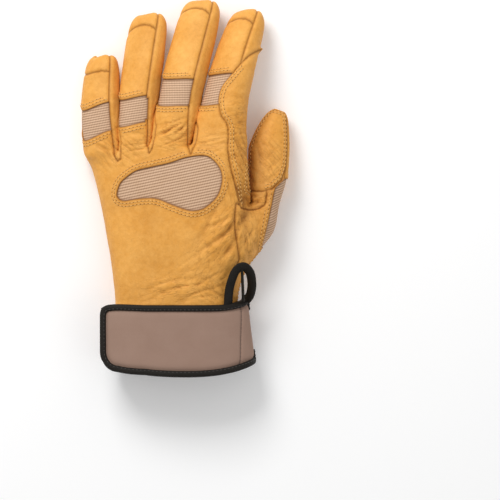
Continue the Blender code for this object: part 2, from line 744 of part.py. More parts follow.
def tab_hole(glove, tab, finishes):
    """The karabiner hole through the cuff's tab, and the corded rim sewn round it."""
    xs = [corner[0] + tab.location.x for corner in tab.bound_box]
    ys = [corner[1] + tab.location.y for corner in tab.bound_box]
    centre = Vector(((min(xs) + max(xs)) / 2, (min(ys) + max(ys)) / 2))
    around = 2 * (2 * RIM_RADIUS + SEAM_GAP)
    outline = oval(centre, TAB_HOLE_WIDTH + around, TAB_HOLE_LENGTH + around, 24)
    cut(tab, outline_prism(glove, "tab_hole", outline, -HOLE_CUT_DEPTH, HOLE_CUT_DEPTH))
    data = bpy.data.curves.new("eyelet_rim", "CURVE")
    data.dimensions = "3D"
    data.bevel_depth = RIM_RADIUS
    data.bevel_resolution = 1
    line = data.splines.new("POLY")
    path = oval(centre, TAB_HOLE_WIDTH + 2 * RIM_RADIUS, TAB_HOLE_LENGTH + 2 * RIM_RADIUS, 24)
    line.points.add(len(path) - 1)
    for point, place in zip(line.points, path):
        point.co = (place.x - centre.x, place.y - centre.y, 0, 1)
    line.use_cyclic_u = True
    data.materials.append(finishes["leather"])
    rim = bpy.data.objects.new("eyelet_rim", data)
    rim.location = (centre.x, centre.y, RIM_RADIUS)
    rim.parent = glove["empty"]
    glove["parts"].objects.link(rim)


# The pull loop's middle line from its inner end, as shares of its width, height and rise
LOOP_LINE = (
    (0.00, 0.00, 0.00), (0.03, 0.26, 0.22), (0.10, 0.50, 0.42), (0.28, 0.83, 0.60), (0.50, 0.98, 0.62),
    (0.72, 0.98, 0.50), (0.93, 0.80, 0.15), (1.00, 0.48, -0.32), (0.93, 0.20, -0.72), (0.78, 0.04, -1.00),
)


def pull_loop(glove, finishes):
    """A loop of binding tape that stands up from the strap's top edge at the hand's outer side."""
    ring = PALM_RINGS[0]
    root = Vector((
        PALM_CENTRE_X + ring["outer"] * PALM_WIDTH / 2 - LOOP_ROOT_INSET,
        WEB_LINE_Y - PALM_LENGTH + LOOP_LIFT,
        PALM_THICKNESS * (ring["height"] + ring["thickness"] / 2) + LOOP_CLEARANCE,
    ))
    points = [root + Vector((LOOP_WIDTH * x, LOOP_HEIGHT * y, LOOP_RISE * z)) for x, y, z in LOOP_LINE]
    made = bmesh.new()
    rings = []
    for number, place in enumerate(points):
        before, after = points[max(number - 1, 0)], points[min(number + 1, len(points) - 1)]
        along = (after - before).normalized()
        outward = along.cross(Vector((0, 0, 1))).normalized()
        across = (Vector((0, 0, 1)) - outward * LOOP_CONE).normalized()
        across = (across - along * across.dot(along)).normalized()
        out = along.cross(across)
        half_tape, half_thin = LOOP_TAPE / 2, LOOP_TAPE_THICKNESS / 2
        corners = ((-1, -0.6), (-0.6, -1), (0.6, -1), (1, -0.6), (1, 0.6), (0.6, 1), (-0.6, 1), (-1, 0.6))
        rings.append([made.verts.new(place + across * (a * half_tape) + out * (b * half_thin)) for a, b in corners])
    for lower, upper in zip(rings, rings[1:]):
        for corner in range(len(lower)):
            after = (corner + 1) % len(lower)
            made.faces.new((lower[corner], upper[corner], upper[after], lower[after]))
    made.faces.new(rings[0])
    made.faces.new(reversed(rings[-1]))
    add_panel(glove, made, "pull_loop", finishes["binding"])


def main():
    for old in list(bpy.data.objects):
        bpy.data.objects.remove(old)
    glove = {"parts": collection("belay_glove"), "helpers": collection("cutters_and_guides")}
    glove["empty"] = bpy.data.objects.new("glove", None)
    glove["parts"].objects.link(glove["empty"])
    finishes = {
        "leather": material("golden_leather", GOLD, 0.5),
        "knit": material("tan_knit", TAN, 0.85),
        "neoprene": material("mauve_neoprene", MAUVE, 0.8),
        "binding": material("black_tape", BLACK, 0.7),
    }
    cage = glove_cage()
    panels = cage.panels
    surface = subdivided(cage, "glove_form", glove["helpers"], SUBDIVISIONS)
    lay_down(surface, PATCH_RISE)
    knuckle_window(glove, surface, panels, finishes)
    raised = {"palm_patch", "thumb_pad"}
    raised |= {f"{finger['name']}_{place}" for finger in FINGERS for place in ("pad", "tip")}
    for name in panels:
        if name == "back_panel":
            continue
        if name.endswith("knit"):
            wall(glove, surface, panels, name, finishes["knit"], KNIT, -KNIT_DROP)
        elif name == "cuff_band":
            wall(glove, surface, panels, name, finishes["neoprene"], NEOPRENE, CUFF_BAND_RISE)
        elif name == "cuff_binding":
            wall(glove, surface, panels, name, finishes["binding"], BINDING, CUFF_BINDING_RISE)
        elif name == "cuff_tab":
            tab = wall(glove, surface, panels, name, finishes["leather"], LEATHER, PATCH_RISE)
            tab_hole(glove, tab, finishes)
        else:
            sole = PATCH_RISE if name in raised else 0.0
            wall(glove, surface, panels, name, finishes["leather"], LEATHER, 0.0, sole)
    surface.free()
    cage = strap_cage()
    surface = subdivided(cage, "strap_form", glove["helpers"], SUBDIVISIONS)
    facing(surface, Vector((0, 0, 1)))
    wall(glove, surface, cage.panels, "strap", finishes["neoprene"], 0.0, STRAP_THICKNESS)
    wall(glove, surface, cage.panels, "strap_binding", finishes["binding"],
         STRAP_BINDING_RISE, STRAP_THICKNESS + STRAP_BINDING_RISE)
    surface.free()
    pull_loop(glove, finishes)


main()
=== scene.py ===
"""Scene of a left-hand climbing glove in golden leather, lying palm down on a pale table.

Metres, +Z up, fingers along +Y, thumb side at +X. The file follows the glove as it is put
together: the table, the hand that the pieces are cut for, the leather, the knit, the cuff, the
strap and its loop, and last the sewing.
"""

import json
import math

import bmesh
import bpy
import numpy as np
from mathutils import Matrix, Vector, noise
from mathutils.kdtree import KDTree

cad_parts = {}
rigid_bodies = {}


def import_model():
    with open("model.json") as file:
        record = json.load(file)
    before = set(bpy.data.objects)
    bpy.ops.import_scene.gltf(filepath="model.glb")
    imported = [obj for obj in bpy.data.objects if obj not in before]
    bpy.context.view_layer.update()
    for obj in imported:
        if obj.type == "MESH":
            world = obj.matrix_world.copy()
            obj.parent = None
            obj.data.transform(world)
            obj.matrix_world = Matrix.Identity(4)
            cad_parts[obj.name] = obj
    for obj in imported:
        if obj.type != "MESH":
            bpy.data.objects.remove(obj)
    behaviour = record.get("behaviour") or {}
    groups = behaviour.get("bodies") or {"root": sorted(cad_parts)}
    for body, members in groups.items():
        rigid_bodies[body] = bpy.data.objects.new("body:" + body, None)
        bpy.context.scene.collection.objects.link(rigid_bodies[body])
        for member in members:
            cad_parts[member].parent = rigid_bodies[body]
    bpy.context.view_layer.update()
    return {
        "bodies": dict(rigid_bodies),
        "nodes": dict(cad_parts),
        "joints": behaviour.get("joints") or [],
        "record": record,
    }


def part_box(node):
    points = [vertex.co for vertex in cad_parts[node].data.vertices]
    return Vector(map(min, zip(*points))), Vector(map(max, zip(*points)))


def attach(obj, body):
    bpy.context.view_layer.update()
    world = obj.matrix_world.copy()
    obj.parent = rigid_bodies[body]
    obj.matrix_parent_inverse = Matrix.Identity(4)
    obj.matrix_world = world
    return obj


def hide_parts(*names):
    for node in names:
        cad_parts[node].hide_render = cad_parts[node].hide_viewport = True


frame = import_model()


# The table is a plain pale sheet under soft studio light, brightest from the upper left.
# The camera hangs straight above it, far enough away to keep the fingers from leaning.
TABLE_SIZE = 6.0
TABLE_COLOUR = (0.97, 0.97, 0.97, 1.0)
TABLE_ROUGHNESS = 0.9
TABLE_GLOW = 0.10
SKY_STRENGTH = 0.54
PICTURE_CENTRE = (0.04225, -0.0403, 0.02)
PICTURE_WIDTH = 0.325
CAMERA_HEIGHT = 4.0
SENSOR_WIDTH = 36.0
# For each light: its name, place, size and power
LIGHTS = (
    ("key", (-0.35, 0.70, 0.80), 0.5, 8.0),
    ("fill", (0.95, -0.50, 1.30), 1.2, 1.8),
)


def show(name, mesh):
    """Puts a mesh in the scene as an object at the origin."""
    made = bpy.data.objects.new(name, mesh)
    bpy.context.scene.collection.objects.link(made)
    return made


table_mesh = bpy.data.meshes.new("table")
half = TABLE_SIZE / 2
table_corners = [(-half, -half, 0), (half, -half, 0), (half, half, 0), (-half, half, 0)]
table_mesh.from_pydata(table_corners, [], [(0, 1, 2, 3)])
table_finish = bpy.data.materials.new("pale_table")
table_finish.use_nodes = True
table_shader = table_finish.node_tree.nodes["Principled BSDF"]
table_shader.inputs["Base Color"].default_value = TABLE_COLOUR
table_shader.inputs["Roughness"].default_value = TABLE_ROUGHNESS
table_shader.inputs["Emission Color"].default_value = TABLE_COLOUR
table_shader.inputs["Emission Strength"].default_value = TABLE_GLOW
table_mesh.materials.append(table_finish)
show("table", table_mesh)

sky = bpy.data.worlds.new("studio")
sky.use_nodes = True
sky.node_tree.nodes["Background"].inputs["Color"].default_value = (1.0, 1.0, 1.0, 1.0)
sky.node_tree.nodes["Background"].inputs["Strength"].default_value = SKY_STRENGTH
bpy.context.scene.world = sky
for name, place, size, power in LIGHTS:
    lamp = bpy.data.lights.new(name, "AREA")
    lamp.size, lamp.energy = size, power
    holder = show(name, lamp)
    holder.location = place
    holder.rotation_euler = (Vector(PICTURE_CENTRE) - Vector(place)).to_track_quat("-Z", "Y").to_euler()
lens = bpy.data.cameras.new("camera")
lens.sensor_width = SENSOR_WIDTH
lens.lens = SENSOR_WIDTH * (CAMERA_HEIGHT - PICTURE_CENTRE[2]) / PICTURE_WIDTH
lens.clip_end = CAMERA_HEIGHT * 5
camera = show("camera", lens)
camera.location = (PICTURE_CENTRE[0], PICTURE_CENTRE[1], CAMERA_HEIGHT)
bpy.context.scene.camera = camera
bpy.context.scene.view_settings.view_transform = "Standard"


# The hand that the glove's pieces are cut for: one rounded surface from the cuff to the fingertips.
# Rings of corners go round the cuff, the palm, the fingers and the thumb, and every face of the cage
# knows the piece of leather or knit that is sewn there. The folds of worn leather are pressed in last.

# The hand, from the cuff's seam to the webs
PALM_LENGTH = 0.104
PALM_WIDTH = 0.103
PALM_THICKNESS = 0.0325
PALM_CENTRE_X = -0.0105
WEB_LINE_Y = 0.0265

# The cuff and the parts on it
CUFF_HEIGHT = 0.0390
CUFF_BINDING = 0.0062
CUFF_BAND_RISE = 0.0006
CUFF_BINDING_RISE = 0.0012
TAB_HOLE_WIDTH = 0.0150
TAB_HOLE_LENGTH = 0.0195
RIM_RADIUS = 0.0015

# Digits, from the web to the tip, and across at the widest
PINKY_LENGTH = 0.0650
RING_LENGTH = 0.0895
MIDDLE_LENGTH = 0.0985
INDEX_LENGTH = 0.0945
PINKY_WIDTH = 0.0250
RING_WIDTH = 0.0258
MIDDLE_WIDTH = 0.0280
INDEX_WIDTH = 0.0290
FINGER_THICKNESS = 0.0215
THUMB_WIDTH = 0.0265
THUMB_THICKNESS = 0.0240

# A subdivided octagon draws in to this share of its cage
OCTAGON_DRAW_IN = 0.902

# One row for each finger. across is the base's place as a share of half the palm's width from its
# centre line, set_back a share of the palm's length back from the web line, and height a share of
# the palm's thickness. lean and pitch are the headings at the web and at the tip, in degrees.
FINGER_COLUMNS = (
    "name", "length", "width", "across", "set_back", "height",
    "lean", "tip_lean", "pitch", "tip_pitch", "roll",
)
FINGERS = [dict(zip(FINGER_COLUMNS, row)) for row in (
    ("pinky", PINKY_LENGTH, PINKY_WIDTH, -0.812, 0.042, 0.43, -9, 8, 0, -6, 17),
    ("ring", RING_LENGTH, RING_WIDTH, -0.396, 0.005, 0.62, -1, 13, 4, -19, 23),
    ("middle", MIDDLE_LENGTH, MIDDLE_WIDTH, 0.039, -0.018, 0.80, 9, 17, 3, -24, 20),
    ("index", INDEX_LENGTH, INDEX_WIDTH, 0.650, -0.008, 0.93, 3, 24, 0, -29, 31),
)]

# The seams of each finger as shares of its length: the knit insert's two edges on the back, how far
# they slant towards the outer side, and the fingertip's cap
SEAM_COLUMNS = ("knit_from", "knit_to", "slant", "cap_from")
SEAM_ROWS = (
    (0.210, 0.475, 0.076, 0.830),
    (0.183, 0.380, 0.039, 0.870),
    (0.258, 0.440, 0.030, 0.895),
    (0.290, 0.515, 0.030, 0.905),
)
for finger, row in zip(FINGERS, SEAM_ROWS):
    finger.update(zip(SEAM_COLUMNS, row))

# One row for each ring of a finger after its base. A number in "at" is a share of the length, and a
# name is one of the seams above. Each palm-side seam lies at palm_shift from the one on the back.
RING_COLUMNS = ("at", "palm_shift", "thickness")
FINGER_RINGS = [dict(zip(RING_COLUMNS, row)) for row in (
    (0.100, 0.000, 1.00),
    ("knit_from", 0.050, 1.00),
    ("knit_to", 0.040, 0.96),
    ("cap_from", -0.030, 0.79),
    (0.972, -0.010, 0.56),
    (1.000, 0.000, 0.30),
)]
KNIT_RING, BACK_RING, CAP_RING = 1, 2, 3

# Widths of each finger at its base and at each of those rings, as shares of its width
WIDTH_ROWS = (
    (1.00, 1.03, 1.02, 1.00, 0.93, 0.74, 0.46),
    (0.80, 0.84, 0.90, 0.99, 1.01, 0.84, 0.52),
    (0.86, 0.90, 0.95, 1.00, 0.97, 0.80, 0.50),
    (1.12, 1.10, 1.04, 1.00, 0.89, 0.70, 0.42),
)
BASE_THICKNESS = 1.06
WEB_PINCH = 0.22

# The corners of a finger's ring, clockwise from its inner side as shares of half its width and
# half its thickness. Corners 1, 3, 5 and 7 carry the seams.
RING_CORNERS = (
    (-1.0, -0.04), (-0.82, 0.76), (-0.08, 1.04), (0.68, 0.89),
    (1.0, 0.06), (0.78, -0.80), (0.0, -1.02), (-0.76, -0.82),
)

# Where each finger's three columns lie across the hand, as shares of half its width
BACK_SHARES = (
    (-0.905, -0.775, -0.622), (-0.570, -0.410, -0.245),
    (-0.178, 0.020, 0.225), (0.300, 0.575, 0.830),
)
PALM_SHARES = (
    (-0.900, -0.775, -0.640), (-0.545, -0.405, -0.268),
    (-0.160, 0.020, 0.190), (0.318, 0.540, 0.765),
)

# One row for each ring of the hand. at and palm_at are shares of the palm's length from the cuff to
# the webs, on the back and on the palm side. inner and outer are the edges as shares of half the
# palm's width, height and thickness shares of the palm's, and roll is in degrees. ball is how far
# the ball of the thumb hangs at the outer edge, as a share of the palm's thickness.
PALM_COLUMNS = ("at", "palm_at", "inner", "outer", "height", "thickness", "roll", "ball")
PALM_RINGS = [dict(zip(PALM_COLUMNS, row)) for row in (
    (0.000, 0.000, -0.660, 0.875, 0.540, 1.040, 3.0, 0.00),
    (0.125, 0.150, -0.685, 0.905, 0.560, 1.010, 5.5, 0.05),
    (0.270, 0.345, -0.722, 1.040, 0.620, 1.030, 9.0, 0.20),
    (0.450, 0.490, -0.790, 1.000, 0.680, 1.020, 12.0, 0.35),
    (0.640, 0.650, -0.865, 1.050, 0.720, 0.970, 14.0, 0.34),
    (0.800, 0.800, -0.928, 1.010, 0.725, 0.900, 14.5, 0.16),
    (0.958, 0.930, -1.005, 1.010, 0.715, 0.840, 15.0, 0.04),
)]
BALL_START = 0.3
THUMB_ROOT_RINGS = (2, 3, 4)

# One row for each ring of the cuff, from the mouth up. at is a share of the cuff's height.
CUFF_COLUMNS = ("at", "inner", "outer", "height", "thickness", "roll")
CUFF_RINGS = [dict(zip(CUFF_COLUMNS, row)) for row in (
    (0.000, -0.755, 0.975, 0.560, 1.090, 0.0),
    (CUFF_BINDING / CUFF_HEIGHT, -0.748, 0.970, 0.558, 1.085, 0.0),
    (0.560, -0.705, 0.925, 0.550, 1.060, 1.0),
)]
SECTION_POWER = 2.5
EDGE_SWELL = 1.035

# One row for each ring of the thumb. Its centre is a share of half the palm's width from the palm's
# centre line, of the palm's length from the cuff and of the palm's thickness. heading is in degrees
# from +Y towards +X, width and thickness are shares of the thumb's, roll is in degrees, and slant
# moves the outer corners on towards the tip, as a share of the thumb's width.
THUMB_COLUMNS = ("across", "along", "height", "heading", "width", "thickness", "roll", "slant")
THUMB_RINGS = [dict(zip(THUMB_COLUMNS, row)) for row in (
    (1.200, 0.542, 0.480, 54, 0.96, 1.06, 2, 0.0),
    (1.280, 0.706, 0.430, 15, 0.87, 1.02, -6, 0.30),
    (1.290, 0.856, 0.395, 4, 0.86, 0.97, -14, 0.0),
    (1.290, 1.005, 0.370, 7, 0.94, 0.92, -18, 0.0),
    (1.325, 1.118, 0.345, 13, 0.78, 0.76, -18, 0.0),
    (1.378, 1.200, 0.325, 18, 0.54, 0.56, -18, 0.0),
    (1.405, 1.234, 0.315, 20, 0.26, 0.30, -18, 0.0),
)]


def superellipse(share):
    """Height of the hand's section, as a share of its half thickness, at this share of its half width."""
    return (1 - min(abs(share), 1.0) ** SECTION_POWER) ** (1 / SECTION_POWER)


# What a corner on a finger remembers: its finger from 1 up, its place round it and along it.
# Places round it run from -1 for the last corner, so that they don't jump at the finger's inner side.
MARKS = ("digit", "turn", "reach")


class Cage:
    """The coarse mesh, whose faces remember the panel that they belong to."""

    def __init__(self):
        self.mesh = bmesh.new()
        self.panels = []
        self.marks = [self.mesh.verts.layers.float.new(name) for name in MARKS]

    def point(self, place, *marks):
        made = self.mesh.verts.new(place)
        for layer, mark in zip(self.marks, marks):
            made[layer] = mark
        return made

    def face(self, corners, panel):
        made = self.mesh.faces.new(corners)
        if panel not in self.panels:
            self.panels.append(panel)
        made.material_index = self.panels.index(panel)

    def tube(self, first, second, panel_of):
        """Joins two rings, corner to corner. panel_of gives the panel of the face after each corner."""
        count = len(first)
        for corner in range(count):
            after = (corner + 1) % count
            panel = panel_of(corner)
            if panel:
                self.face((first[corner], second[corner], second[after], first[after]), panel)


def finger_frames(finger):
    """The finger's centre line: a function from a share of its length to a centre, side and up."""
    steps = 24
    base = Vector((
        PALM_CENTRE_X + finger["across"] * PALM_WIDTH / 2,
        WEB_LINE_Y - finger["set_back"] * PALM_LENGTH,
        finger["height"] * PALM_THICKNESS,
    ))

    def heading(share):
        lean = math.radians(finger["lean"] + (finger["tip_lean"] - finger["lean"]) * share)
        pitch = math.radians(finger["pitch"] + (finger["tip_pitch"] - finger["pitch"]) * share)
        return Vector((math.sin(lean) * math.cos(pitch), math.cos(lean) * math.cos(pitch), math.sin(pitch)))

    def frame(share):
        place = base.copy()
        for step in range(steps):
            place += heading(share * (step + 0.5) / steps) * (finger["length"] * share / steps)
        along = heading(share)
        side = along.cross(Vector((0, 0, 1))).normalized()
        up = side.cross(along)
        turn = math.radians(finger["roll"]) * min(1.0, 0.45 + share)
        rolled = side * math.cos(turn) + up * math.sin(turn)
        return place, rolled, rolled.cross(along)

    return frame


def place_round(corner):
    return corner if corner < len(RING_CORNERS) - 1 else -1


def ring_point(frame, corner, half_width, half_thickness):
    centre, side, up = frame
    across, rise = RING_CORNERS[corner]
    return centre + side * (across * half_width) + up * (rise * half_thickness)


def finger_ring(cage, finger, ring, width):
    """One ring of a finger. Its back and palm sides may lie at different shares of the length."""
    frame = finger_frames(finger)
    half_width = finger["width"] * width / 2 / OCTAGON_DRAW_IN
    half_thickness = FINGER_THICKNESS * ring["thickness"] / 2 / OCTAGON_DRAW_IN
    at = finger.get(ring["at"], ring["at"])
    points = []
    for corner, (across, rise) in enumerate(RING_CORNERS):
        share = at + ring["palm_shift"] * (1 - rise) / 2
        if rise > 0.5:
            share += finger["slant"] * across
        place = ring_point(frame(min(share, 1.0)), corner, half_width, half_thickness)
        points.append(cage.point(place, FINGERS.index(finger) + 1, place_round(corner), at))
    return points


def web_rings(cage):
    """The rings where the four fingers leave the hand, with the webs' corners drawn together."""
    places = []
    for finger, widths in zip(FINGERS, WIDTH_ROWS):
        frame = finger_frames(finger)(0.0)
        half_width = finger["width"] * widths[0] / 2 / OCTAGON_DRAW_IN
        half_thickness = FINGER_THICKNESS * BASE_THICKNESS / 2 / OCTAGON_DRAW_IN
        places.append([ring_point(frame, corner, half_width, half_thickness) for corner in range(8)])
    for inner, outer in zip(places, places[1:]):
        inner_middle = (inner[3] + inner[5]) / 2
        outer_middle = (outer[1] + outer[7]) / 2
        inner[4] = inner_middle.lerp(outer_middle, WEB_PINCH)
        outer[0] = inner_middle.lerp(outer_middle, 1 - WEB_PINCH)
    return [[cage.point(place, number + 1, place_round(corner), 0.0) for corner, place in enumerate(ring)]
            for number, ring in enumerate(places)]


def finger_panel(finger, after, corner):
    """The panel of the face after this corner, on the stretch that ends at ring number after."""
    name = finger["name"]
    number = FINGERS.index(finger)
    on_back, on_palm = corner in (1, 2), corner in (5, 6)
    if on_back:
        if after > CAP_RING:
            return f"{name}_tip"
        if after > BACK_RING:
            return f"{name}_back"
        return f"{name}_knit" if after > KNIT_RING else "back_panel"
    if on_palm:
        if after > CAP_RING:
            return f"{name}_tip"
        if after > BACK_RING:
            return f"{name}_pad"
        return f"{name}_crease" if after > KNIT_RING else "palm_patch"
    if corner in (3, 4):
        if number < len(FINGERS) - 1:
            return f"web_{name}_{FINGERS[number + 1]['name']}"
        return "index_side" if after <= BACK_RING else "index_end_side"
    if number > 0:
        return f"web_{FINGERS[number - 1]['name']}_{name}"
    return "pinky_side"


def close_tip(cage, ring, finger):
    """Closes a ring of eight: two faces down the middle, and a triangle at each side."""
    cage.face((ring[1], ring[2], ring[6], ring[7]), f"{finger['name']}_tip")
    cage.face((ring[2], ring[3], ring[5], ring[6]), f"{finger['name']}_tip")
    cage.face((ring[7], ring[0], ring[1]), finger_panel(finger, CAP_RING + 1, 0))
    cage.face((ring[3], ring[4], ring[5]), finger_panel(finger, CAP_RING + 1, 3))


def section_point(ring, share, side, y):
    """A point of a hand or cuff ring. side is 1 on the back, -1 on the palm and 0 at an edge."""
    half = PALM_WIDTH / 2
    centre_x = PALM_CENTRE_X + half * (ring["inner"] + ring["outer"]) / 2
    half_width = half * (ring["outer"] - ring["inner"]) / 2 * EDGE_SWELL
    half_thickness = PALM_THICKNESS * ring["thickness"] / 2 * EDGE_SWELL
    roll = math.radians(ring["roll"])
    across = share * half_width
    rise = side * half_thickness * superellipse(share)
    drop = 0.0
    if side <= 0:
        drop = ring.get("ball", 0.0) * PALM_THICKNESS * max(0.0, (share - BALL_START) / (1 - BALL_START)) ** 2
    return Vector((
        centre_x + across * math.cos(roll) - rise * math.sin(roll),
        y,
        ring["height"] * PALM_THICKNESS + across * math.sin(roll) + rise * math.cos(roll) - drop,
    ))


def hand_ring(cage, ring, base_rows):
    """A closed ring of the hand: inner edge, the back's columns, outer edge, the palm's columns.
    base_rows gives each finger's base in y, or is None on the cuff, whose rings are level."""
    cuff_y = WEB_LINE_Y - PALM_LENGTH

    def level(number, at):
        if base_rows is None:
            return cuff_y - CUFF_HEIGHT * (1 - ring["at"])
        return cuff_y + ring[at] * (base_rows[number] - cuff_y)

    last = len(FINGERS) - 1
    points = [section_point(ring, -1, 0, level(0, "at"))]
    for number, shares in enumerate(BACK_SHARES):
        points += [section_point(ring, share, 1, level(number, "at")) for share in shares]
    points.append(section_point(ring, 1, 0, level(last, "at")))
    for number, shares in reversed(list(enumerate(PALM_SHARES))):
        points += [section_point(ring, share, -1, level(number, "palm_at")) for share in reversed(shares)]
    return [cage.point(place) for place in points]


def ring_size():
    return 2 * (1 + sum(len(shares) for shares in BACK_SHARES))


def columns():
    """Corner numbers of the hand's ring: inner edge, back columns, outer edge, palm columns."""
    count = sum(len(shares) for shares in BACK_SHARES)
    outer = count + 1
    back = [[1 + 3 * number + place for place in range(3)] for number in range(len(FINGERS))]
    palm = [[ring_size() - (1 + 3 * number + place) for place in range(3)] for number in range(len(FINGERS))]
    return back, outer, palm


def palm_panel(number, corner):
    """The panel of the face after this corner of the hand's ring, on the stretch above ring number."""
    back, outer, palm = columns()
    last_stretch = number == len(PALM_RINGS) - 1
    if number in THUMB_ROOT_RINGS[:2] and corner in (outer - 1, outer):
        return None
    if corner in (outer - 1, outer):
        if number >= THUMB_ROOT_RINGS[0]:
            return "index_side"
        return "thenar_knit" if corner == outer else "thumb_base"
    if last_stretch:
        for first, second in zip(FINGERS, FINGERS[1:]):
            place = FINGERS.index(first)
            if corner in (back[place][2], palm[place + 1][0]):
                return f"web_{first['name']}_{second['name']}"
    if corner < outer:
        return "back_panel"
    if corner == ring_size() - 1:
        return "hand_side"
    return "heel_panel" if number < THUMB_ROOT_RINGS[0] else "palm_patch"


def cuff_panel(number, corner):
    _, _, palm = columns()
    if number == 0:
        return "cuff_binding"
    if palm[2][2] <= corner < palm[1][1]:
        return "cuff_tab"
    return "cuff_band"


def join_fingers(cage, last_ring, bases):
    """Joins the hand's last ring to the fingers' base rings, and closes the webs between them."""
    back, outer, palm = columns()
    upper = {0: bases[0][0], outer: bases[-1][4]}
    for number, base in enumerate(bases):
        for place, corner in enumerate((1, 2, 3)):
            upper[back[number][place]] = base[corner]
        for place, corner in enumerate((7, 6, 5)):
            upper[palm[number][place]] = base[corner]
    cage.tube(last_ring, [upper[corner] for corner in range(ring_size())],
              lambda corner: palm_panel(len(PALM_RINGS) - 1, corner))
    for number, (inner, outer_base) in enumerate(zip(bases, bases[1:])):
        panel = f"web_{FINGERS[number]['name']}_{FINGERS[number + 1]['name']}"
        cage.face((inner[3], inner[4], outer_base[0], outer_base[1]), panel)
        cage.face((inner[4], inner[5], outer_base[7], outer_base[0]), panel)


def thumb_panel(after, corner):
    """The thumb's panels: the knit up its outer side, the patch on its back, the pad below."""
    if after == 0:
        return ("index_side", "thumb_base", "thumb_base", "thumb_base",
                "thenar_knit", "palm_patch", "palm_patch", "palm_patch")[corner]
    if after == 1:
        return ("thumb_patch", "thumb_base", "thumb_base", "thenar_knit",
                "thenar_knit", "thumb_pad", "thumb_pad", "thumb_pad")[corner]
    return "thumb_patch" if corner in (0, 1, 2) else "thumb_pad"


def thumb(cage, rings):
    """The thumb leaves the hand's outer side, between three of its rings."""
    back, outer, palm = columns()
    low, middle, high = (rings[number] for number in THUMB_ROOT_RINGS)
    back_column, palm_column = back[-1][2], palm[-1][2]
    root = [high[outer], high[back_column], middle[back_column], low[back_column],
            low[outer], low[palm_column], middle[palm_column], high[palm_column]]
    before = root
    for number, ring in enumerate(THUMB_RINGS):
        turn = math.radians(ring["heading"])
        along = Vector((math.sin(turn), math.cos(turn), 0))
        side = Vector((math.cos(turn), -math.sin(turn), 0))
        roll = math.radians(ring["roll"])
        rolled = side * math.cos(roll) + Vector((0, 0, 1)) * math.sin(roll)
        place = Vector((
            PALM_CENTRE_X + ring["across"] * PALM_WIDTH / 2,
            WEB_LINE_Y - PALM_LENGTH * (1 - ring["along"]),
            ring["height"] * PALM_THICKNESS,
        ))
        frame = (place, rolled, rolled.cross(along))
        half_width = THUMB_WIDTH * ring["width"] / 2 / OCTAGON_DRAW_IN
        half_thickness = THUMB_THICKNESS * ring["thickness"] / 2 / OCTAGON_DRAW_IN
        points = []
        for corner, (across, rise) in enumerate(RING_CORNERS):
            onward = along * (ring["slant"] * THUMB_WIDTH * across if rise > 0.5 else 0.0)
            points.append(cage.point(ring_point(frame, corner, half_width, half_thickness) + onward))
        cage.tube(before, points, lambda corner, after=number: thumb_panel(after, corner))
        before = points
    cage.face((before[7], before[0], before[1]), "thumb_pad")
    cage.face((before[1], before[2], before[6], before[7]), "thumb_pad")
    cage.face((before[2], before[3], before[5], before[6]), "thumb_pad")
    cage.face((before[3], before[4], before[5]), "thumb_pad")


def glove_cage():
    cage = Cage()
    bases = web_rings(cage)
    base_rows = [(base[1].co.y + base[7].co.y) / 2 for base in bases]
    cuff = [hand_ring(cage, ring, None) for ring in CUFF_RINGS]
    rings = [hand_ring(cage, ring, base_rows) for ring in PALM_RINGS]
    for number, (lower, upper) in enumerate(zip(cuff, cuff[1:] + rings[:1])):
        cage.tube(lower, upper, lambda corner, place=number: cuff_panel(place, corner))
    for number, (lower, upper) in enumerate(zip(rings, rings[1:])):
        cage.tube(lower, upper, lambda corner, place=number: palm_panel(place, corner))
    join_fingers(cage, rings[-1], bases)
    for finger, widths, base in zip(FINGERS, WIDTH_ROWS, bases):
        before = base
        for number, ring in enumerate(FINGER_RINGS):
            points = finger_ring(cage, finger, ring, widths[number + 1])
            cage.tube(before, points, lambda corner, after=number: finger_panel(finger, after, corner))
            before = points
        close_tip(cage, before, finger)
    thumb(cage, rings)
    return cage


def applied(guide):
    """The mesh that an object's modifiers make of it. The object itself goes."""
    bpy.context.view_layer.update()
    made = bpy.data.meshes.new_from_object(guide.evaluated_get(bpy.context.evaluated_depsgraph_get()))
    bpy.data.objects.remove(guide)
    return made


def rounded(cage, name):
    """The cage as a smooth mesh of quads, which keep the number of their piece."""
    bmesh.ops.recalc_face_normals(cage.mesh, faces=cage.mesh.faces)
    data = bpy.data.meshes.new(name)
    cage.mesh.to_mesh(data)
    cage.mesh.free()
    guide = show(name, data)
    rounding = guide.modifiers.new("rounding", "SUBSURF")
    rounding.levels = rounding.render_levels = FORM_LEVELS
    return applied(guide)


def sides(quads):
    """The four sides of every quad, each as its two corners."""
    return np.concatenate([quads[:, [side, (side + 1) % 4]] for side in range(4)])


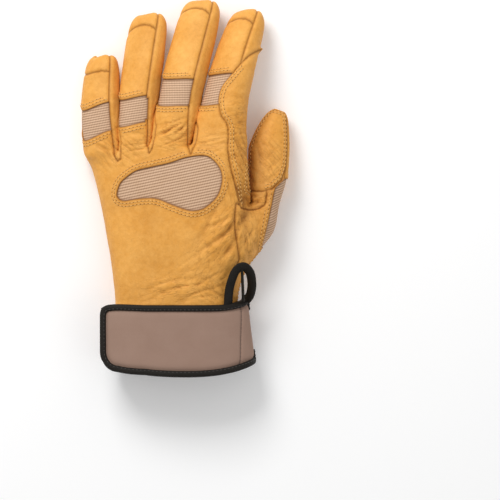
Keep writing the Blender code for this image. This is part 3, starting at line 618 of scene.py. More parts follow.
class Surface:
    """A smooth surface as arrays: corners, their normals, quads and each quad's piece."""

    def __init__(self, data, pieces, floor=None):
        self.pieces = list(pieces)
        self.points = np.empty(len(data.vertices) * 3)
        data.vertices.foreach_get("co", self.points)
        self.points = self.points.reshape(-1, 3)
        if floor is not None:
            self.points[:, 2] = np.maximum(self.points[:, 2], floor)
            data.vertices.foreach_set("co", self.points.ravel())
            data.update()
        self.normals = np.empty(len(data.vertices) * 3)
        data.vertices.foreach_get("normal", self.normals)
        self.normals = self.normals.reshape(-1, 3)
        corners = np.empty(len(data.loops), dtype=np.int32)
        data.loops.foreach_get("vertex_index", corners)
        self.quads = corners.reshape(-1, 4)
        self.tags = np.empty(len(data.polygons), dtype=np.int32)
        data.polygons.foreach_get("material_index", self.tags)
        self.marks = {}
        for name in MARKS:
            values = np.zeros(len(data.vertices))
            if name in data.attributes:
                data.attributes[name].data.foreach_get("value", values)
            self.marks[name] = values
        bpy.data.meshes.remove(data)

    def tag(self, piece):
        if piece not in self.pieces:
            self.pieces.append(piece)
        return self.pieces.index(piece)

    def across(self, edges, own):
        """The number of the piece on the other side of each of these edges, or -1 at a free edge."""
        tags = np.tile(self.tags, 4)
        every, tags = sides(self.quads)[tags != own], tags[tags != own]
        count = len(self.points)
        keys = every.min(axis=1).astype(np.int64) * count + every.max(axis=1)
        order = np.argsort(keys)
        wanted = edges.min(axis=1).astype(np.int64) * count + edges.max(axis=1)
        found = np.minimum(np.searchsorted(keys[order], wanted), len(order) - 1)
        return np.where(keys[order][found] == wanted, tags[order][found], -1)

    def recut(self, field, pieces, into, only=None):
        """Gives one piece what others have where a value on the surface is positive. The corners
        nearest to where it is nothing move there, so the new seam is smooth."""
        before = self.tags.copy()
        chosen = np.isin(before, [self.tag(piece) for piece in pieces])
        if only is not None:
            chosen &= only[self.quads].all(axis=1)
        quads = self.quads[chosen]
        edges = np.unique(np.sort(sides(quads), axis=1), axis=0)
        first, second = edges[(field[edges[:, 0]] > 0) != (field[edges[:, 1]] > 0)].T
        share = field[first] / (field[first] - field[second])
        places = self.points[first] + (self.points[second] - self.points[first]) * share[:, None]
        nearer = np.where(share < 0.5, first, second)
        settled = field.copy()
        for number in np.argsort(-np.minimum(share, 1 - share)):
            self.points[nearer[number]] = places[number]
            settled[nearer[number]] = 0.0
        values = settled[quads]
        rows = np.flatnonzero(chosen)
        self.tags[rows[(values > 0).any(axis=1)]] = self.tag(into)
        # A quad that the seam crosses from corner to corner is cut in two
        crossed = (values > 0).any(axis=1) & (values < 0).any(axis=1)
        peak = np.argmax(values[crossed] > 0, axis=1)[:, None]
        turned = np.take_along_axis(quads[crossed], (peak + np.arange(-1, 3)) % 4, axis=1)
        self.quads[rows[crossed]] = turned[:, [0, 1, 2, 2]]
        self.quads = np.concatenate([self.quads, turned[:, [2, 3, 0, 0]]])
        self.tags = np.concatenate([self.tags, before[rows[crossed]]])


def within(places, outline):
    """True for each place that lies inside a closed outline."""
    inside = np.zeros(len(places), dtype=bool)
    x, y = places[:, 0], places[:, 1]
    for (x1, y1), (x2, y2) in zip(outline, np.roll(outline, -1, axis=0)):
        crosses = (y1 > y) != (y2 > y)
        with np.errstate(divide="ignore", invalid="ignore"):
            inside ^= crosses & (x < (x2 - x1) * (y - y1) / (y2 - y1) + x1)
    return inside


def drawn(points, steps, closed=False):
    """A smooth line through points drawn from above."""
    points = np.asarray(points, dtype=float)
    if closed:
        points = np.concatenate([points[-1:], points, points[:2]])
    else:
        points = np.concatenate([points[:1] * 2 - points[1:2], points, points[-1:] * 2 - points[-2:-1]])
    made = []
    for before, first, second, after in zip(points, points[1:], points[2:], points[3:]):
        for step in range(steps):
            t = step / steps
            bend = 2 * before - 5 * first + 4 * second - after
            twist = 3 * first - before - 3 * second + after
            made.append(0.5 * (2 * first + (second - before) * t + bend * t * t + twist * t ** 3))
    made.append(points[1] if closed else points[-2])
    return np.array(made)


FORM_LEVELS = 4
LAID_AT = 0.0008
# The knuckle window, as shares of half the palm's width and of the palm's length
KNUCKLE_OUTLINE = (
    (-0.654, 0.714), (-0.617, 0.770), (-0.553, 0.804), (-0.415, 0.851), (-0.213, 0.876), (0.015, 0.901),
    (0.235, 0.936), (0.456, 0.945), (0.570, 0.914), (0.658, 0.851), (0.671, 0.776), (0.608, 0.689),
    (0.456, 0.620), (0.325, 0.601), (0.217, 0.608), (0.027, 0.642), (-0.150, 0.676), (-0.326, 0.679),
    (-0.560, 0.664), (-0.642, 0.683),
)
# The seam that runs slantwise over the index finger and on down beside the knuckles, in metres
INDEX_SEAM = (
    (0.0540, 0.0915), (0.0494, 0.0898), (0.0423, 0.0860), (0.0351, 0.0793), (0.0293, 0.0722),
    (0.0241, 0.0653), (0.0221, 0.0585), (0.0221, 0.0527), (0.0234, 0.0468), (0.0273, 0.0410),
    (0.0283, 0.0338), (0.0280, 0.0247), (0.0299, 0.0130), (0.0332, 0.0007), (0.0363, -0.0130),
)
# Below it the piece turns up in a round web between the hand and the thumb
CROTCH_WEB = (
    (0.0416, -0.0142), (0.0475, -0.0135), (0.0520, -0.0108), (0.0532, -0.0040), (0.0528, -0.0016),
    (0.0425, -0.0016), (0.0406, 0.0000), (0.0410, 0.0230), (0.0450, 0.0400), (0.1200, 0.0500),
)
# The rounded lower corner of the patch on the thumb, and the knit beside it
PATCH_CORNER = (
    (0.0666, 0.0247), (0.0660, 0.0143), (0.0630, 0.0052), (0.0570, -0.0003), (0.0500, -0.0023),
    (0.0422, -0.0020), (0.0422, -0.0140), (0.0800, -0.0140), (0.0800, 0.0247),
)
THENAR_EDGE = (
    (0.0585, -0.0002), (0.0650, 0.0062), (0.0720, 0.0040), (0.0720, -0.0221),
    (0.0600, -0.0360), (0.0500, -0.0387), (0.0527, -0.0273), (0.0559, -0.0130),
)


def from_line(surface, line):
    """How far each corner lies from a line drawn from above."""
    line = np.asarray(line, dtype=float)
    best = np.full(len(surface.points), 1.0)
    for start, run in zip(line, line[1:] - line[:-1]):
        off = surface.points[:, :2] - start
        share = np.clip((off * run).sum(1) / max((run * run).sum(), 1e-12), 0, 1)
        best = np.minimum(best, np.hypot(*(off - share[:, None] * run).T))
    return best


def beyond(surface, outline):
    """How far each corner lies inside a closed outline seen from above, less than 0 outside it."""
    off = from_line(surface, [*outline, outline[0]])
    return np.where(within(surface.points, outline), off, -off)


hand_cage = glove_cage()
hand = Surface(rounded(hand_cage, "hand"), hand_cage.panels, LAID_AT)
digit, turn, reach = (hand.marks[name] for name in MARKS)

# Leather bunches between the fingers and at the thumb, so the gaps all but close: the middle of each
# gap, its reach across and along, and how far each wall stands in
WEB_GAPS = (
    (-0.0415, 0.0300, 0.0075, 0.0170, 0.0010),
    (-0.0215, 0.0380, 0.0075, 0.0170, 0.0010),
    (0.0060, 0.0375, 0.0075, 0.0175, 0.0017),
    (0.0410, 0.0090, 0.0085, 0.0230, 0.0027),
)
for x, y, across, along, bunching in WEB_GAPS:
    away = ((hand.points[:, 0] - x) / across) ** 4 + ((hand.points[:, 1] - y) / along) ** 4
    sideways = np.clip(np.abs(hand.normals[:, 0]) * 1.4 - 0.3, 0, 1)
    hand.points += hand.normals * (bunching * np.exp(-away) * sideways)[:, None]

# The gusset beside the thumb is drawn in between its seams: the middle of the tuck and its reach
# along, where it starts and is full from the palm's side, and its depth
GUSSET_Y = -0.0105
GUSSET_REACH = 0.0140
GUSSET_FROM = 0.0560
GUSSET_SPAN = 0.0060
GUSSET_TUCK = 0.0030
drawn_in = np.exp(-((hand.points[:, 1] - GUSSET_Y) / GUSSET_REACH) ** 2)
hand.points[:, 0] -= GUSSET_TUCK * drawn_in * np.clip((hand.points[:, 0] - GUSSET_FROM) / GUSSET_SPAN, 0, 1)

# The seam over the index finger's side ends in a welt that stands out past its edge
WELT_AT = (0.0486, 0.0893)
WELT_SIZE = (0.0024, 0.0014)
WELT_MOVE = (0.0024, 0.00096)
off = (hand.points[:, :2] - WELT_AT) / WELT_SIZE
raised = np.exp(-np.hypot(*off.T) ** 2) * np.clip(hand.normals[:, 0], 0, 1)
hand.points[:, :2] += raised[:, None] * WELT_MOVE

# Where each finger's seams run, as shares of its length: down from the cage's two knit edges, on from
# its cap seam, the arc of the cap seam and its lean towards the outer side
SEAM_SHIFTS = (
    (0.030, 0.012, 0.016, 0.012, 0.0115),
    (0.024, 0.047, 0.016, 0.022, 0.0035),
    (0.020, 0.043, 0.016, 0.018, 0.0045),
    (0.031, 0.056, 0.000, 0.014, 0.0018),
)
# The strip along a finger's inner side joins its back above this stretch, in shares of its length
STRIP_FROM, STRIP_SPAN, STRIP_WIDTH = 0.10, 0.16, 0.95
# The cap seam's arc is highest at this place round the finger, and ends this far from it
ARC_MIDDLE, ARC_HALF = 1.9, 1.2
# Places round a finger from its inner side to its back's outer edge, with a little to spare
SPARE = 0.01
inner_side, before_outer_edge = turn > -SPARE, turn < 3 + SPARE
UNDERSIDE = -0.4
for number, (finger, (low, high, on, arc, lean)) in enumerate(zip(FINGERS, SEAM_SHIFTS)):
    name = finger["name"]
    own = np.abs(digit - number - 1) < 1e-4
    above = own & (hand.normals[:, 2] > UNDERSIDE) & before_outer_edge
    side = f"web_{FINGERS[number - 1]['name']}_{name}" if number else "pinky_side"
    seam = 1 - STRIP_WIDTH * np.clip((reach - STRIP_FROM) / STRIP_SPAN, 0, 1)
    hand.recut(turn - seam, [side], "strip", own & inner_side & (turn < 1 + SPARE))
    bow = 1 - ((turn - ARC_MIDDLE) / ARC_HALF) ** 2
    cap = finger["cap_from"] + on + arc * bow - lean * (turn - 1)
    top, bottom = finger["knit_to"] - high, finger["knit_from"] - low
    for piece in ("strip", f"{name}_tip"):
        hand.recut(reach - cap, [piece], f"{name}_tip", above)
    hand.recut(cap - reach, [f"{name}_tip"], f"{name}_back", above & inner_side)
    hand.recut(reach - top, ["strip", f"{name}_knit"], f"{name}_back", own)
    hand.recut(reach - bottom, ["strip", "back_panel"], f"{name}_knit", own & before_outer_edge)
    hand.recut(np.ones(len(reach)), ["strip"], "back_panel")

half = PALM_WIDTH / 2
cuff_line = WEB_LINE_Y - PALM_LENGTH
facing_up = hand.normals[:, 2] > 0.0
window = [(PALM_CENTRE_X + x * half, cuff_line + y * PALM_LENGTH) for x, y in KNUCKLE_OUTLINE]
hand.recut(beyond(hand, drawn(window, 6, closed=True)[:-1]), ["back_panel"], "knuckle_knit", facing_up)

# The piece at the index finger's side ends at this line across the thumb's web, and reaches no
# further over the hand than this. It meets the fingertip's side piece and the back in two stretches.
WEB_END_Y = -0.0165
SIDE_FROM_X = 0.012
END_SIDE_FROM_Y = 0.0735
BACK_TO_Y = 0.0660
FAR_X = 0.12
index_seam = drawn(INDEX_SEAM, 8)
seam_end = INDEX_SEAM[0][1]
outer_side = beyond(hand, np.concatenate([index_seam, CROTCH_WEB, [(FAR_X, seam_end)]]))
along_hand = hand.points[:, 1].copy()
stretch = facing_up & (along_hand < seam_end) & (along_hand > WEB_END_Y) & (hand.points[:, 0] > SIDE_FROM_X)
hand.recut(beyond(hand, PATCH_CORNER), ["thumb_patch"], "thumb_base", facing_up)
hand.recut(beyond(hand, THENAR_EDGE), ["thumb_base", "thumb_pad", "thumb_patch"], "thenar_knit",
           hand.normals[:, 2] > -0.3)
hand.recut(outer_side, ["index_back", "index_knit", "back_panel", "thumb_base"], "index_side", stretch)
hand.recut(outer_side, ["index_end_side"], "index_side", stretch)
hand.recut(-outer_side, ["index_side"], "index_end_side", stretch & (hand.points[:, 1] > END_SIDE_FROM_Y))
hand.recut(-outer_side, ["index_side"], "back_panel", stretch & (hand.points[:, 1] < BACK_TO_Y))

# The side pieces end in a narrow tongue below each web. These lines in metres run down its inner
# side, round its foot and up its outer side.
TONGUES = (
    ("web_pinky_ring", (
        (-0.0475, 0.0262), (-0.0452, 0.0195), (-0.0432, 0.0165), (-0.0412, 0.0195), (-0.0360, 0.0262),
    )),
    ("web_ring_middle", (
        (-0.0240, 0.0440), (-0.0238, 0.0360), (-0.0242, 0.0290), (-0.0234, 0.0222), (-0.0218, 0.0245),
        (-0.0202, 0.0290), (-0.0100, 0.0440),
    )),
    ("web_middle_index", (
        (0.0030, 0.0535), (0.0024, 0.0430), (0.0022, 0.0340), (0.0022, 0.0270), (0.0038, 0.0212),
        (0.0060, 0.0240), (0.0080, 0.0290), (0.0200, 0.0535),
    )),
)
TONGUE_FLARE = (0.004, 0.05)
TONGUE_FOOT = 0.009
PINKY_SIDE_END_Y = 0.0320
# Above its foot the knit's edge follows this line to the upper one of two places
KNIT_EDGES = (
    ("web_ring_middle", "ring_knit", (-0.0240, 0.0440), (-0.0235, 0.0595)),
    ("web_middle_index", "middle_knit", (0.0030, 0.0535), (0.0053, 0.0695)),
)
for name, line in TONGUES:
    (left, level), (right, _) = line[0], line[-1]
    out, up = TONGUE_FLARE
    outline = np.array([*line, (right + out, level + up), (left - out, level + up)])
    hand.recut(-beyond(hand, outline), [name], "back_panel", facing_up & (hand.points[:, 1] < level + 0.0006))
for name, knit, (x1, y1), (x2, y2) in KNIT_EDGES:
    along = (hand.points[:, 1] - y1) / (y2 - y1)
    beside_edge = facing_up & (along > -0.03) & (along < 1.0)
    hand.recut(x1 + (x2 - x1) * along - hand.points[:, 0], [name], knit, beside_edge)
hand.recut(PINKY_SIDE_END_Y - hand.points[:, 1], ["pinky_side"], "back_panel",
           facing_up & (hand.points[:, 1] < PINKY_SIDE_END_Y + 0.001))
# On the palm side each tongue has a round end
for name, _ in TONGUES:
    low = np.unique(hand.quads[hand.tags == hand.tag(name)])
    low = hand.points[low[hand.normals[low, 2] < -0.3]]
    level = low[:, 1].min()
    end = low[low[:, 1] < level + TONGUE_FOOT, 0]
    radius, middle = (end.max() - end.min()) / 2, (end.max() + end.min()) / 2
    off = np.hypot(hand.points[:, 0] - middle, hand.points[:, 1] - level - radius) - radius
    hand.recut(off, [name], "palm_patch", (hand.normals[:, 2] < -0.2) & (hand.points[:, 1] < level + radius))


# Folds that a worn glove keeps. Each row is a patch of creases: on the back (1) or the palm (-1), its
# middle and reach in metres, the heading of its creases in degrees from +X, their spacing and depth.
CREASE_COLUMNS = ("side", "x", "y", "reach_x", "reach_y", "heading", "spacing", "depth")
CREASES = [dict(zip(CREASE_COLUMNS, row)) for row in (
    (1, -0.0440, 0.0240, 0.013, 0.011, -35, 0.0040, 0.00060),
    (1, -0.0270, 0.0300, 0.011, 0.009, 12, 0.0038, 0.00050),
    (1, -0.0060, 0.0370, 0.012, 0.010, 22, 0.0048, 0.00075),
    (1, -0.0060, 0.0300, 0.010, 0.008, -18, 0.0036, 0.00045),
    (1, 0.0150, 0.0270, 0.011, 0.011, 8, 0.0042, 0.00045),
    (1, 0.0330, 0.0420, 0.011, 0.020, 4, 0.0036, 0.00050),
    (1, 0.0360, 0.0150, 0.010, 0.018, -62, 0.0058, 0.00110),
    (1, 0.0370, -0.0080, 0.009, 0.018, -72, 0.0066, 0.00110),
    (1, 0.0420, -0.0350, 0.010, 0.020, 98, 0.0068, 0.00090),
    (1, 0.0270, -0.0260, 0.014, 0.014, 50, 0.0090, 0.00120),
    (1, 0.0180, -0.0420, 0.014, 0.012, 38, 0.0100, 0.00100),
    (1, 0.0120, -0.0560, 0.018, 0.010, 34, 0.0042, 0.00040),
    (1, -0.0050, -0.0660, 0.026, 0.010, 10, 0.0052, 0.00055),
    (1, 0.0200, -0.0680, 0.013, 0.009, -30, 0.0040, 0.00055),
    (1, 0.0560, 0.0180, 0.009, 0.020, -42, 0.0034, 0.00050),
    (1, 0.0590, 0.0060, 0.009, 0.020, 48, 0.0040, 0.00035),
    (1, 0.0520, -0.0100, 0.009, 0.008, 8, 0.0036, 0.00055),
    (-1, 0.0420, -0.0200, 0.014, 0.030, 62, 0.0052, 0.00090),
    (-1, 0.0100, 0.0220, 0.050, 0.008, 4, 0.0046, 0.00050),
    (-1, -0.0550, 0.0400, 0.016, 0.012, -10, 0.0030, 0.00050),
    (-1, -0.0320, 0.0500, 0.014, 0.012, -2, 0.0030, 0.00050),
    (-1, -0.0050, 0.0560, 0.014, 0.012, 4, 0.0030, 0.00050),
    (-1, 0.0240, 0.0560, 0.016, 0.012, 8, 0.0030, 0.00050),
    (-1, -0.0100, -0.0300, 0.045, 0.030, 80, 0.0120, 0.00060),
)]
# The deepest folds, each a line in metres with its depth and half its width
FOLD_LINES = (
    (((0.0350, -0.0150), (0.0290, -0.0260), (0.0205, -0.0350)), 0.0015, 0.0014),
    (((0.0330, -0.0170), (0.0230, -0.0225), (0.0120, -0.0265)), 0.0008, 0.0012),
    (((0.0360, -0.0175), (0.0325, -0.0330), (0.0245, -0.0470)), 0.0010, 0.0013),
    (((0.0305, 0.0250), (0.0350, 0.0160), (0.0400, 0.0070)), 0.0014, 0.0011),
    (((0.0275, 0.0080), (0.0300, -0.0040), (0.0330, -0.0110)), 0.0008, 0.0012),
    (((-0.0050, 0.0352), (-0.0015, 0.0385), (0.0015, 0.0412)), 0.0013, 0.0009),
    (((-0.0180, 0.0345), (-0.0120, 0.0360), (-0.0075, 0.0395)), 0.0007, 0.0010),
    (((-0.0560, 0.0270), (-0.0500, 0.0235), (-0.0470, 0.0180)), 0.0008, 0.0010),
    (((0.0400, -0.0060), (0.0440, -0.0090), (0.0490, -0.0080)), 0.0007, 0.0008),
    (((0.0395, -0.0020), (0.0440, -0.0050), (0.0490, -0.0040)), 0.0006, 0.0008),
)
# The headings of the fine creases between those folds, in degrees from +X
FOLD_WAYS = (("folds_across", 5), ("folds_rising", 48), ("folds_along", 92), ("folds_falling", -50))
FOLD_DEEPENING = 1.9
SAG = 0.00060
SAG_SPACING = 0.022


def folded(surface):
    """How far each corner of the surface stands in or out where the leather is creased."""
    depth = np.zeros(len(surface.points))
    fine = {name: np.full(len(depth), 0.14) for name, _ in FOLD_WAYS}
    facing = surface.normals[:, 2]
    for number, crease in enumerate(CREASES):
        away_x = (surface.points[:, 0] - crease["x"]) / crease["reach_x"]
        away_y = (surface.points[:, 1] - crease["y"]) / crease["reach_y"]
        weight = np.exp(-(away_x ** 2 + away_y ** 2)) * np.clip(0.35 + crease["side"] * facing * 1.2, 0, 1)
        way = min(FOLD_WAYS, key=lambda row: abs((crease["heading"] - row[1] + 90) % 180 - 90))[0]
        fine[way] = np.maximum(fine[way], weight * min(0.35 + crease["depth"] / 0.0012, 1.0))
        turn = math.radians(crease["heading"])
        along = surface.points[:, 0] * math.cos(turn) + surface.points[:, 1] * math.sin(turn)
        across = -surface.points[:, 0] * math.sin(turn) + surface.points[:, 1] * math.cos(turn)
        for vert in np.flatnonzero(weight > 0.03):
            spacing = crease["spacing"]
            place = Vector((across[vert] / spacing, along[vert] / spacing * 0.15, number * 7.3))
            place.x += 0.45 * noise.noise(Vector((place.x * 0.5, place.y * 1.6, place.z)))
            ridge = 1 - 2.6 * abs(noise.noise(place))
            depth[vert] -= weight[vert] * FOLD_DEEPENING * crease["depth"] * (max(ridge, 0.0) ** 1.6 - 0.35)
    upward = np.clip(facing * 2, 0, 1)
    for line, deep, wide in FOLD_LINES:
        line = drawn(line, 4)
        off = from_line(surface, line) / wide
        ends = np.minimum(*(np.hypot(*(surface.points[:, :2] - line[end]).T) for end in (0, -1)))
        fade = np.clip(ends / (4 * wide), 0.15, 1) * upward
        depth += deep * fade * (0.5 * np.exp(-((off - 2.1) / 1.1) ** 2) - np.exp(-off ** 2))
    for vert, place in enumerate(surface.points / SAG_SPACING):
        depth[vert] += SAG * noise.noise(Vector(place))
    return depth, fine


hand_folds, fine_folds = folded(hand)


# The leather is a soft full-grain hide, dyed gold, with a fine pebble and a dry satin surface.
# Painted shade makes it darker in its seams and folds, and it is paler where it is rubbed.
class Value:
    """A shader socket that takes part in ordinary sums."""

    def __init__(self, finish, socket):
        self.finish, self.socket = finish, socket

    def sum_with(self, operation, first, second):
        return self.finish.node("ShaderNodeMath", {"operation": operation}, {0: first, 1: second})

    def __add__(self, other):
        return self.sum_with("ADD", self, other)

    def __radd__(self, other):
        return self.sum_with("ADD", other, self)

    def __sub__(self, other):
        return self.sum_with("SUBTRACT", self, other)

    def __rsub__(self, other):
        return self.sum_with("SUBTRACT", other, self)

    def __mul__(self, other):
        return self.sum_with("MULTIPLY", self, other)

    def __rmul__(self, other):
        return self.sum_with("MULTIPLY", other, self)

    def __truediv__(self, other):
        return self.sum_with("DIVIDE", self, other)

    def __pow__(self, other):
        return self.sum_with("POWER", self, other)

    def clamped(self):
        return self.finish.node("ShaderNodeClamp", {}, {"Value": self})


class Finish:
    """A node material that is mixed by hand, with its Principled shader to end in."""

    def __init__(self, name, roughness):
        self.material = bpy.data.materials.new(name)
        self.material.use_nodes = True
        self.tree = self.material.node_tree
        self.shader = self.tree.nodes["Principled BSDF"]
        self.shader.inputs["Roughness"].default_value = roughness

    def node(self, kind, settings, inputs, output=0):
        made = self.tree.nodes.new(kind)
        stops = settings.pop("stops", None)
        for key, value in settings.items():
            setattr(made, key, value)
        if stops:
            ramp = made.color_ramp
            while len(ramp.elements) < len(stops):
                ramp.elements.new(0.5)
            for element, (place, colour) in zip(ramp.elements, stops):
                element.position, element.color = place, colour
        for key, value in inputs.items():
            self.feed(made.inputs[key], value)
        return Value(self, made.outputs[output])

    def feed(self, socket, value):
        if isinstance(value, Value):
            self.tree.links.new(value.socket, socket)
        else:
            socket.default_value = value

    def place(self):
        return self.node("ShaderNodeTexCoord", {}, {}, "Object")

    def stored(self, name):
        return self.node("ShaderNodeAttribute", {"attribute_name": name}, {}, "Fac")

    def noise(self, scale, detail=2.0, roughness=0.5, place=None):
        return self.node("ShaderNodeTexNoise", {}, {
            "Vector": place or self.place(), "Scale": scale, "Detail": detail, "Roughness": roughness})

    def mix(self, share, first, second):
        return self.node("ShaderNodeMix", {"data_type": "RGBA"}, {"Factor": share, 6: first, 7: second}, 2)

    def raised(self, height, strength, distance):
        """Ends a height in the shader's normal."""
        bump = self.node("ShaderNodeBump", {}, {"Height": height, "Strength": strength, "Distance": distance})
        self.feed(self.shader.inputs["Normal"], bump)


LEATHER_GOLD = (0.750, 0.330, 0.055, 1.0)
LEATHER_PALE = (0.900, 0.455, 0.110, 1.0)
# The deep brown of the painted shade in seams, folds and creases
LEATHER_SHADE = (0.270, 0.095, 0.016, 1.0)
PEBBLE_SCALE = 1150.0


def leather_finish(name, gold, pale, deep):
    finish = Finish(name, 0.52)
    clouds = finish.noise(42.0, 3.0, 0.55)
    mottle = finish.noise(260.0, 3.0, 0.6)
    painted_shade = finish.stored("painted_shade").clamped()
    tone = (clouds * 1.5 + mottle * 1.3 - 0.95).clamped()
    colour = finish.mix(tone, gold, pale)
    creased = 0.0
    for way, heading in FOLD_WAYS:
        turned = finish.node("ShaderNodeMapping", {"vector_type": "TEXTURE"}, {
            "Vector": finish.place(), "Rotation": (0, 0, math.radians(heading)), "Scale": (3.2, 1.0, 1.6)})
        wave = finish.noise(330.0, 2.5, 0.55, turned)
        off = finish.node("ShaderNodeMath", {"operation": "ABSOLUTE"}, {0: wave - 0.5})
        creased = (1 - off * 17).clamped() * finish.stored(way) + creased
    # Painted shade: the colour turns deep brown in the folds, in the fine creases and beside the seams
    colour = finish.mix((painted_shade * 0.85 + creased * 0.34).clamped(), colour, deep)
    finish.feed(finish.shader.inputs["Base Color"], colour)
    pebble = finish.node("ShaderNodeTexVoronoi", {"feature": "F1"}, {"Vector": finish.place(), "Scale": PEBBLE_SCALE})
    pores = finish.noise(2600.0, 2.0, 0.6)
    lines = finish.noise(700.0, 4.0, 0.65)
    finish.raised(pebble * 0.45 + pores * 0.25 + lines * 0.8 - creased * 2.6, 0.42, 0.00022)
    finish.feed(finish.shader.inputs["Roughness"], 0.44 + mottle * 0.16)
    finish.shader.inputs["Specular IOR Level"].default_value = 0.16
    return finish.material


golden_leather = leather_finish("golden_leather", LEATHER_GOLD, LEATHER_PALE, LEATHER_SHADE)

LEATHER = 0.0015
TURN_DEPTH = 0.00075
TURN_WIDTH = 0.0007
PUFF = 0.00022
PUFF_AT = 0.0026
LAP_LIFT = 0.00035
PUCKER = 0.00018
PUCKER_SPACING = 0.0034
SEAM_SHADE = 0.0006
KNIT_PIECES = ("pinky_knit", "ring_knit", "middle_knit", "index_knit", "knuckle_knit", "thenar_knit")
LAPPED_PIECES = KNIT_PIECES + ("cuff_band",)


class Piece:
    """One sewn piece: its quads, and for each of its corners the way to the nearest seam."""

    def __init__(self, surface, name):
        self.surface, self.name = surface, name
        self.quads = surface.quads[surface.tags == surface.tag(name)]
        edges = sides(self.quads)
        edges = edges[edges[:, 0] != edges[:, 1]]
        keys = np.sort(edges, axis=1).astype(np.int64)
        keys = keys[:, 0] * len(surface.points) + keys[:, 1]
        _, first, count = np.unique(keys, return_index=True, return_counts=True)
        self.rim = edges[first[count == 1]]
        self.verts = np.unique(self.quads)
        self.near, self.seam_distance = self.measure()

    def measure(self):
        """The piece beyond the nearest seam, as its number, and the distance to that seam."""
        labels = self.surface.across(self.rim, self.surface.tag(self.name))
        tree = KDTree(len(self.rim) * 2)
        for number, (first, second) in enumerate(self.rim):
            tree.insert(self.surface.points[first], number)
            tree.insert((self.surface.points[first] + self.surface.points[second]) / 2, number)
        tree.balance()
        near = np.full(len(self.surface.points), -1)
        distance = np.zeros(len(self.surface.points))
        for vert in self.verts:
            _, index, distance[vert] = tree.find(self.surface.points[vert])
            near[vert] = labels[index]
        return near, distance

    def beside(self, *names):
        """True for each corner of the surface whose nearest seam joins one of these pieces."""
        return np.isin(self.near, [self.surface.tag(name) for name in names])


def sewn_height(piece, folds):
    """How far a leather piece stands out: turned in at its seams, plump beside them, lifted over knit."""
    away = piece.seam_distance
    lapped = piece.beside(*LAPPED_PIECES)
    turned = -TURN_DEPTH * np.exp(-(away / TURN_WIDTH) ** 2)
    turned = np.where(lapped, LAP_LIFT * np.exp(-(away / PUFF_AT) ** 2) - 0.3 * TURN_DEPTH * np.exp(-(away / 0.0004) ** 2), turned)
    height = turned + PUFF * np.exp(-((away - PUFF_AT) / (0.5 * PUFF_AT)) ** 2)
    for vert in piece.verts[away[piece.verts] < 3 * PUFF_AT]:
        place = Vector(piece.surface.points[vert]) / PUCKER_SPACING
        height[vert] += PUCKER * noise.noise(place) * math.exp(-away[vert] / PUFF_AT)
    calm = 1 - np.exp(-(away / 0.0025) ** 2) * 0.8
    return height + folds * calm


def stitched_up(piece, height, thickness, finish, extra=None):
    """The piece as a closed wall of its own, in place of its plain solid. Returns its outer corners."""
    surface, verts = piece.surface, piece.verts
    outer = surface.points[verts] + surface.normals[verts] * height[verts, None]
    inner = surface.points[verts] + surface.normals[verts] * (np.minimum(height[verts], 0.0) - thickness)[:, None]
    outer[:, 2] = np.maximum(outer[:, 2], 0.0)
    inner[:, 2] = np.maximum(inner[:, 2], 0.0004)
    order = np.full(len(surface.points), -1)
    order[verts] = np.arange(len(verts))
    quads, rim = order[piece.quads], order[piece.rim]
    count = len(verts)
    faces = np.concatenate([
        quads, quads[:, ::-1] + count,
        np.stack([rim[:, 1], rim[:, 0], rim[:, 0] + count, rim[:, 1] + count], axis=1),
    ])
    data = bpy.data.meshes.new(piece.name + "_sewn")
    data.vertices.add(2 * count)
    data.vertices.foreach_set("co", np.concatenate([outer, inner]).ravel())
    own = faces != np.roll(faces, 1, axis=1)
    ends = np.cumsum(own.sum(axis=1))
    data.loops.add(int(ends[-1]))
    data.loops.foreach_set("vertex_index", faces[own].astype(np.int32))
    data.polygons.add(len(faces))
    data.polygons.foreach_set("loop_start", np.concatenate([[0], ends[:-1]]).astype(np.int32))
    data.update(calc_edges=True)
    data.validate()
    for name, values in (extra or {}).items():
        stored = data.attributes.new(name, "FLOAT", "POINT")
        stored.data.foreach_set("value", np.tile(values[verts], 2))
    data.materials.append(finish)
    data.shade_smooth()
    data.set_sharp_from_angle(angle=math.radians(50))
    made = show(piece.name + "_sewn", data)
    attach(made, "root")
    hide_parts(piece.name)
    corners = surface.points.copy()
    corners[verts] = outer
    return corners


RUNS = {"gold": [], "black": [], "mauve": []}


def row_of_stitches(piece, corners, away, keep=None, colour="gold", values=None):
    """Marks a row of stitches at a distance from the seams, or where a value on the piece crosses it."""
    values = (piece.seam_distance if values is None else values) - away
    triangles = np.concatenate([piece.quads[:, [0, 1, 2]], piece.quads[:, [0, 2, 3]]])
    triangles = triangles[(triangles != np.roll(triangles, 1, axis=1)).all(axis=1)]
    if keep is not None:
        triangles = triangles[keep[triangles].all(axis=1)]
    following = triangles[:, [1, 2, 0]]
    crossing = (values[triangles] > 0) != (values[following] > 0)
    chosen = crossing.sum(axis=1) == 2
    first, second, crossing = triangles[chosen], following[chosen], crossing[chosen]
    low, high = np.minimum(first, second)[crossing], np.maximum(first, second)[crossing]
    if not len(low):
        return
    share = (values[low] / (values[low] - values[high]))[:, None]
    places = corners[low] * (1 - share) + corners[high] * share
    ups = piece.surface.normals[low] * (1 - share) + piece.surface.normals[high] * share
    keys = low.astype(np.int64) * len(corners) + high
    _, index, inverse = np.unique(keys, return_index=True, return_inverse=True)
    RUNS[colour].append((places[index], ups[index], inverse.reshape(-1, 2)))


pieces, outsides = {}, {}


# The thumb's flank, and the crotch below it, are darker with painted shade
THUMB_SHADE = 0.50


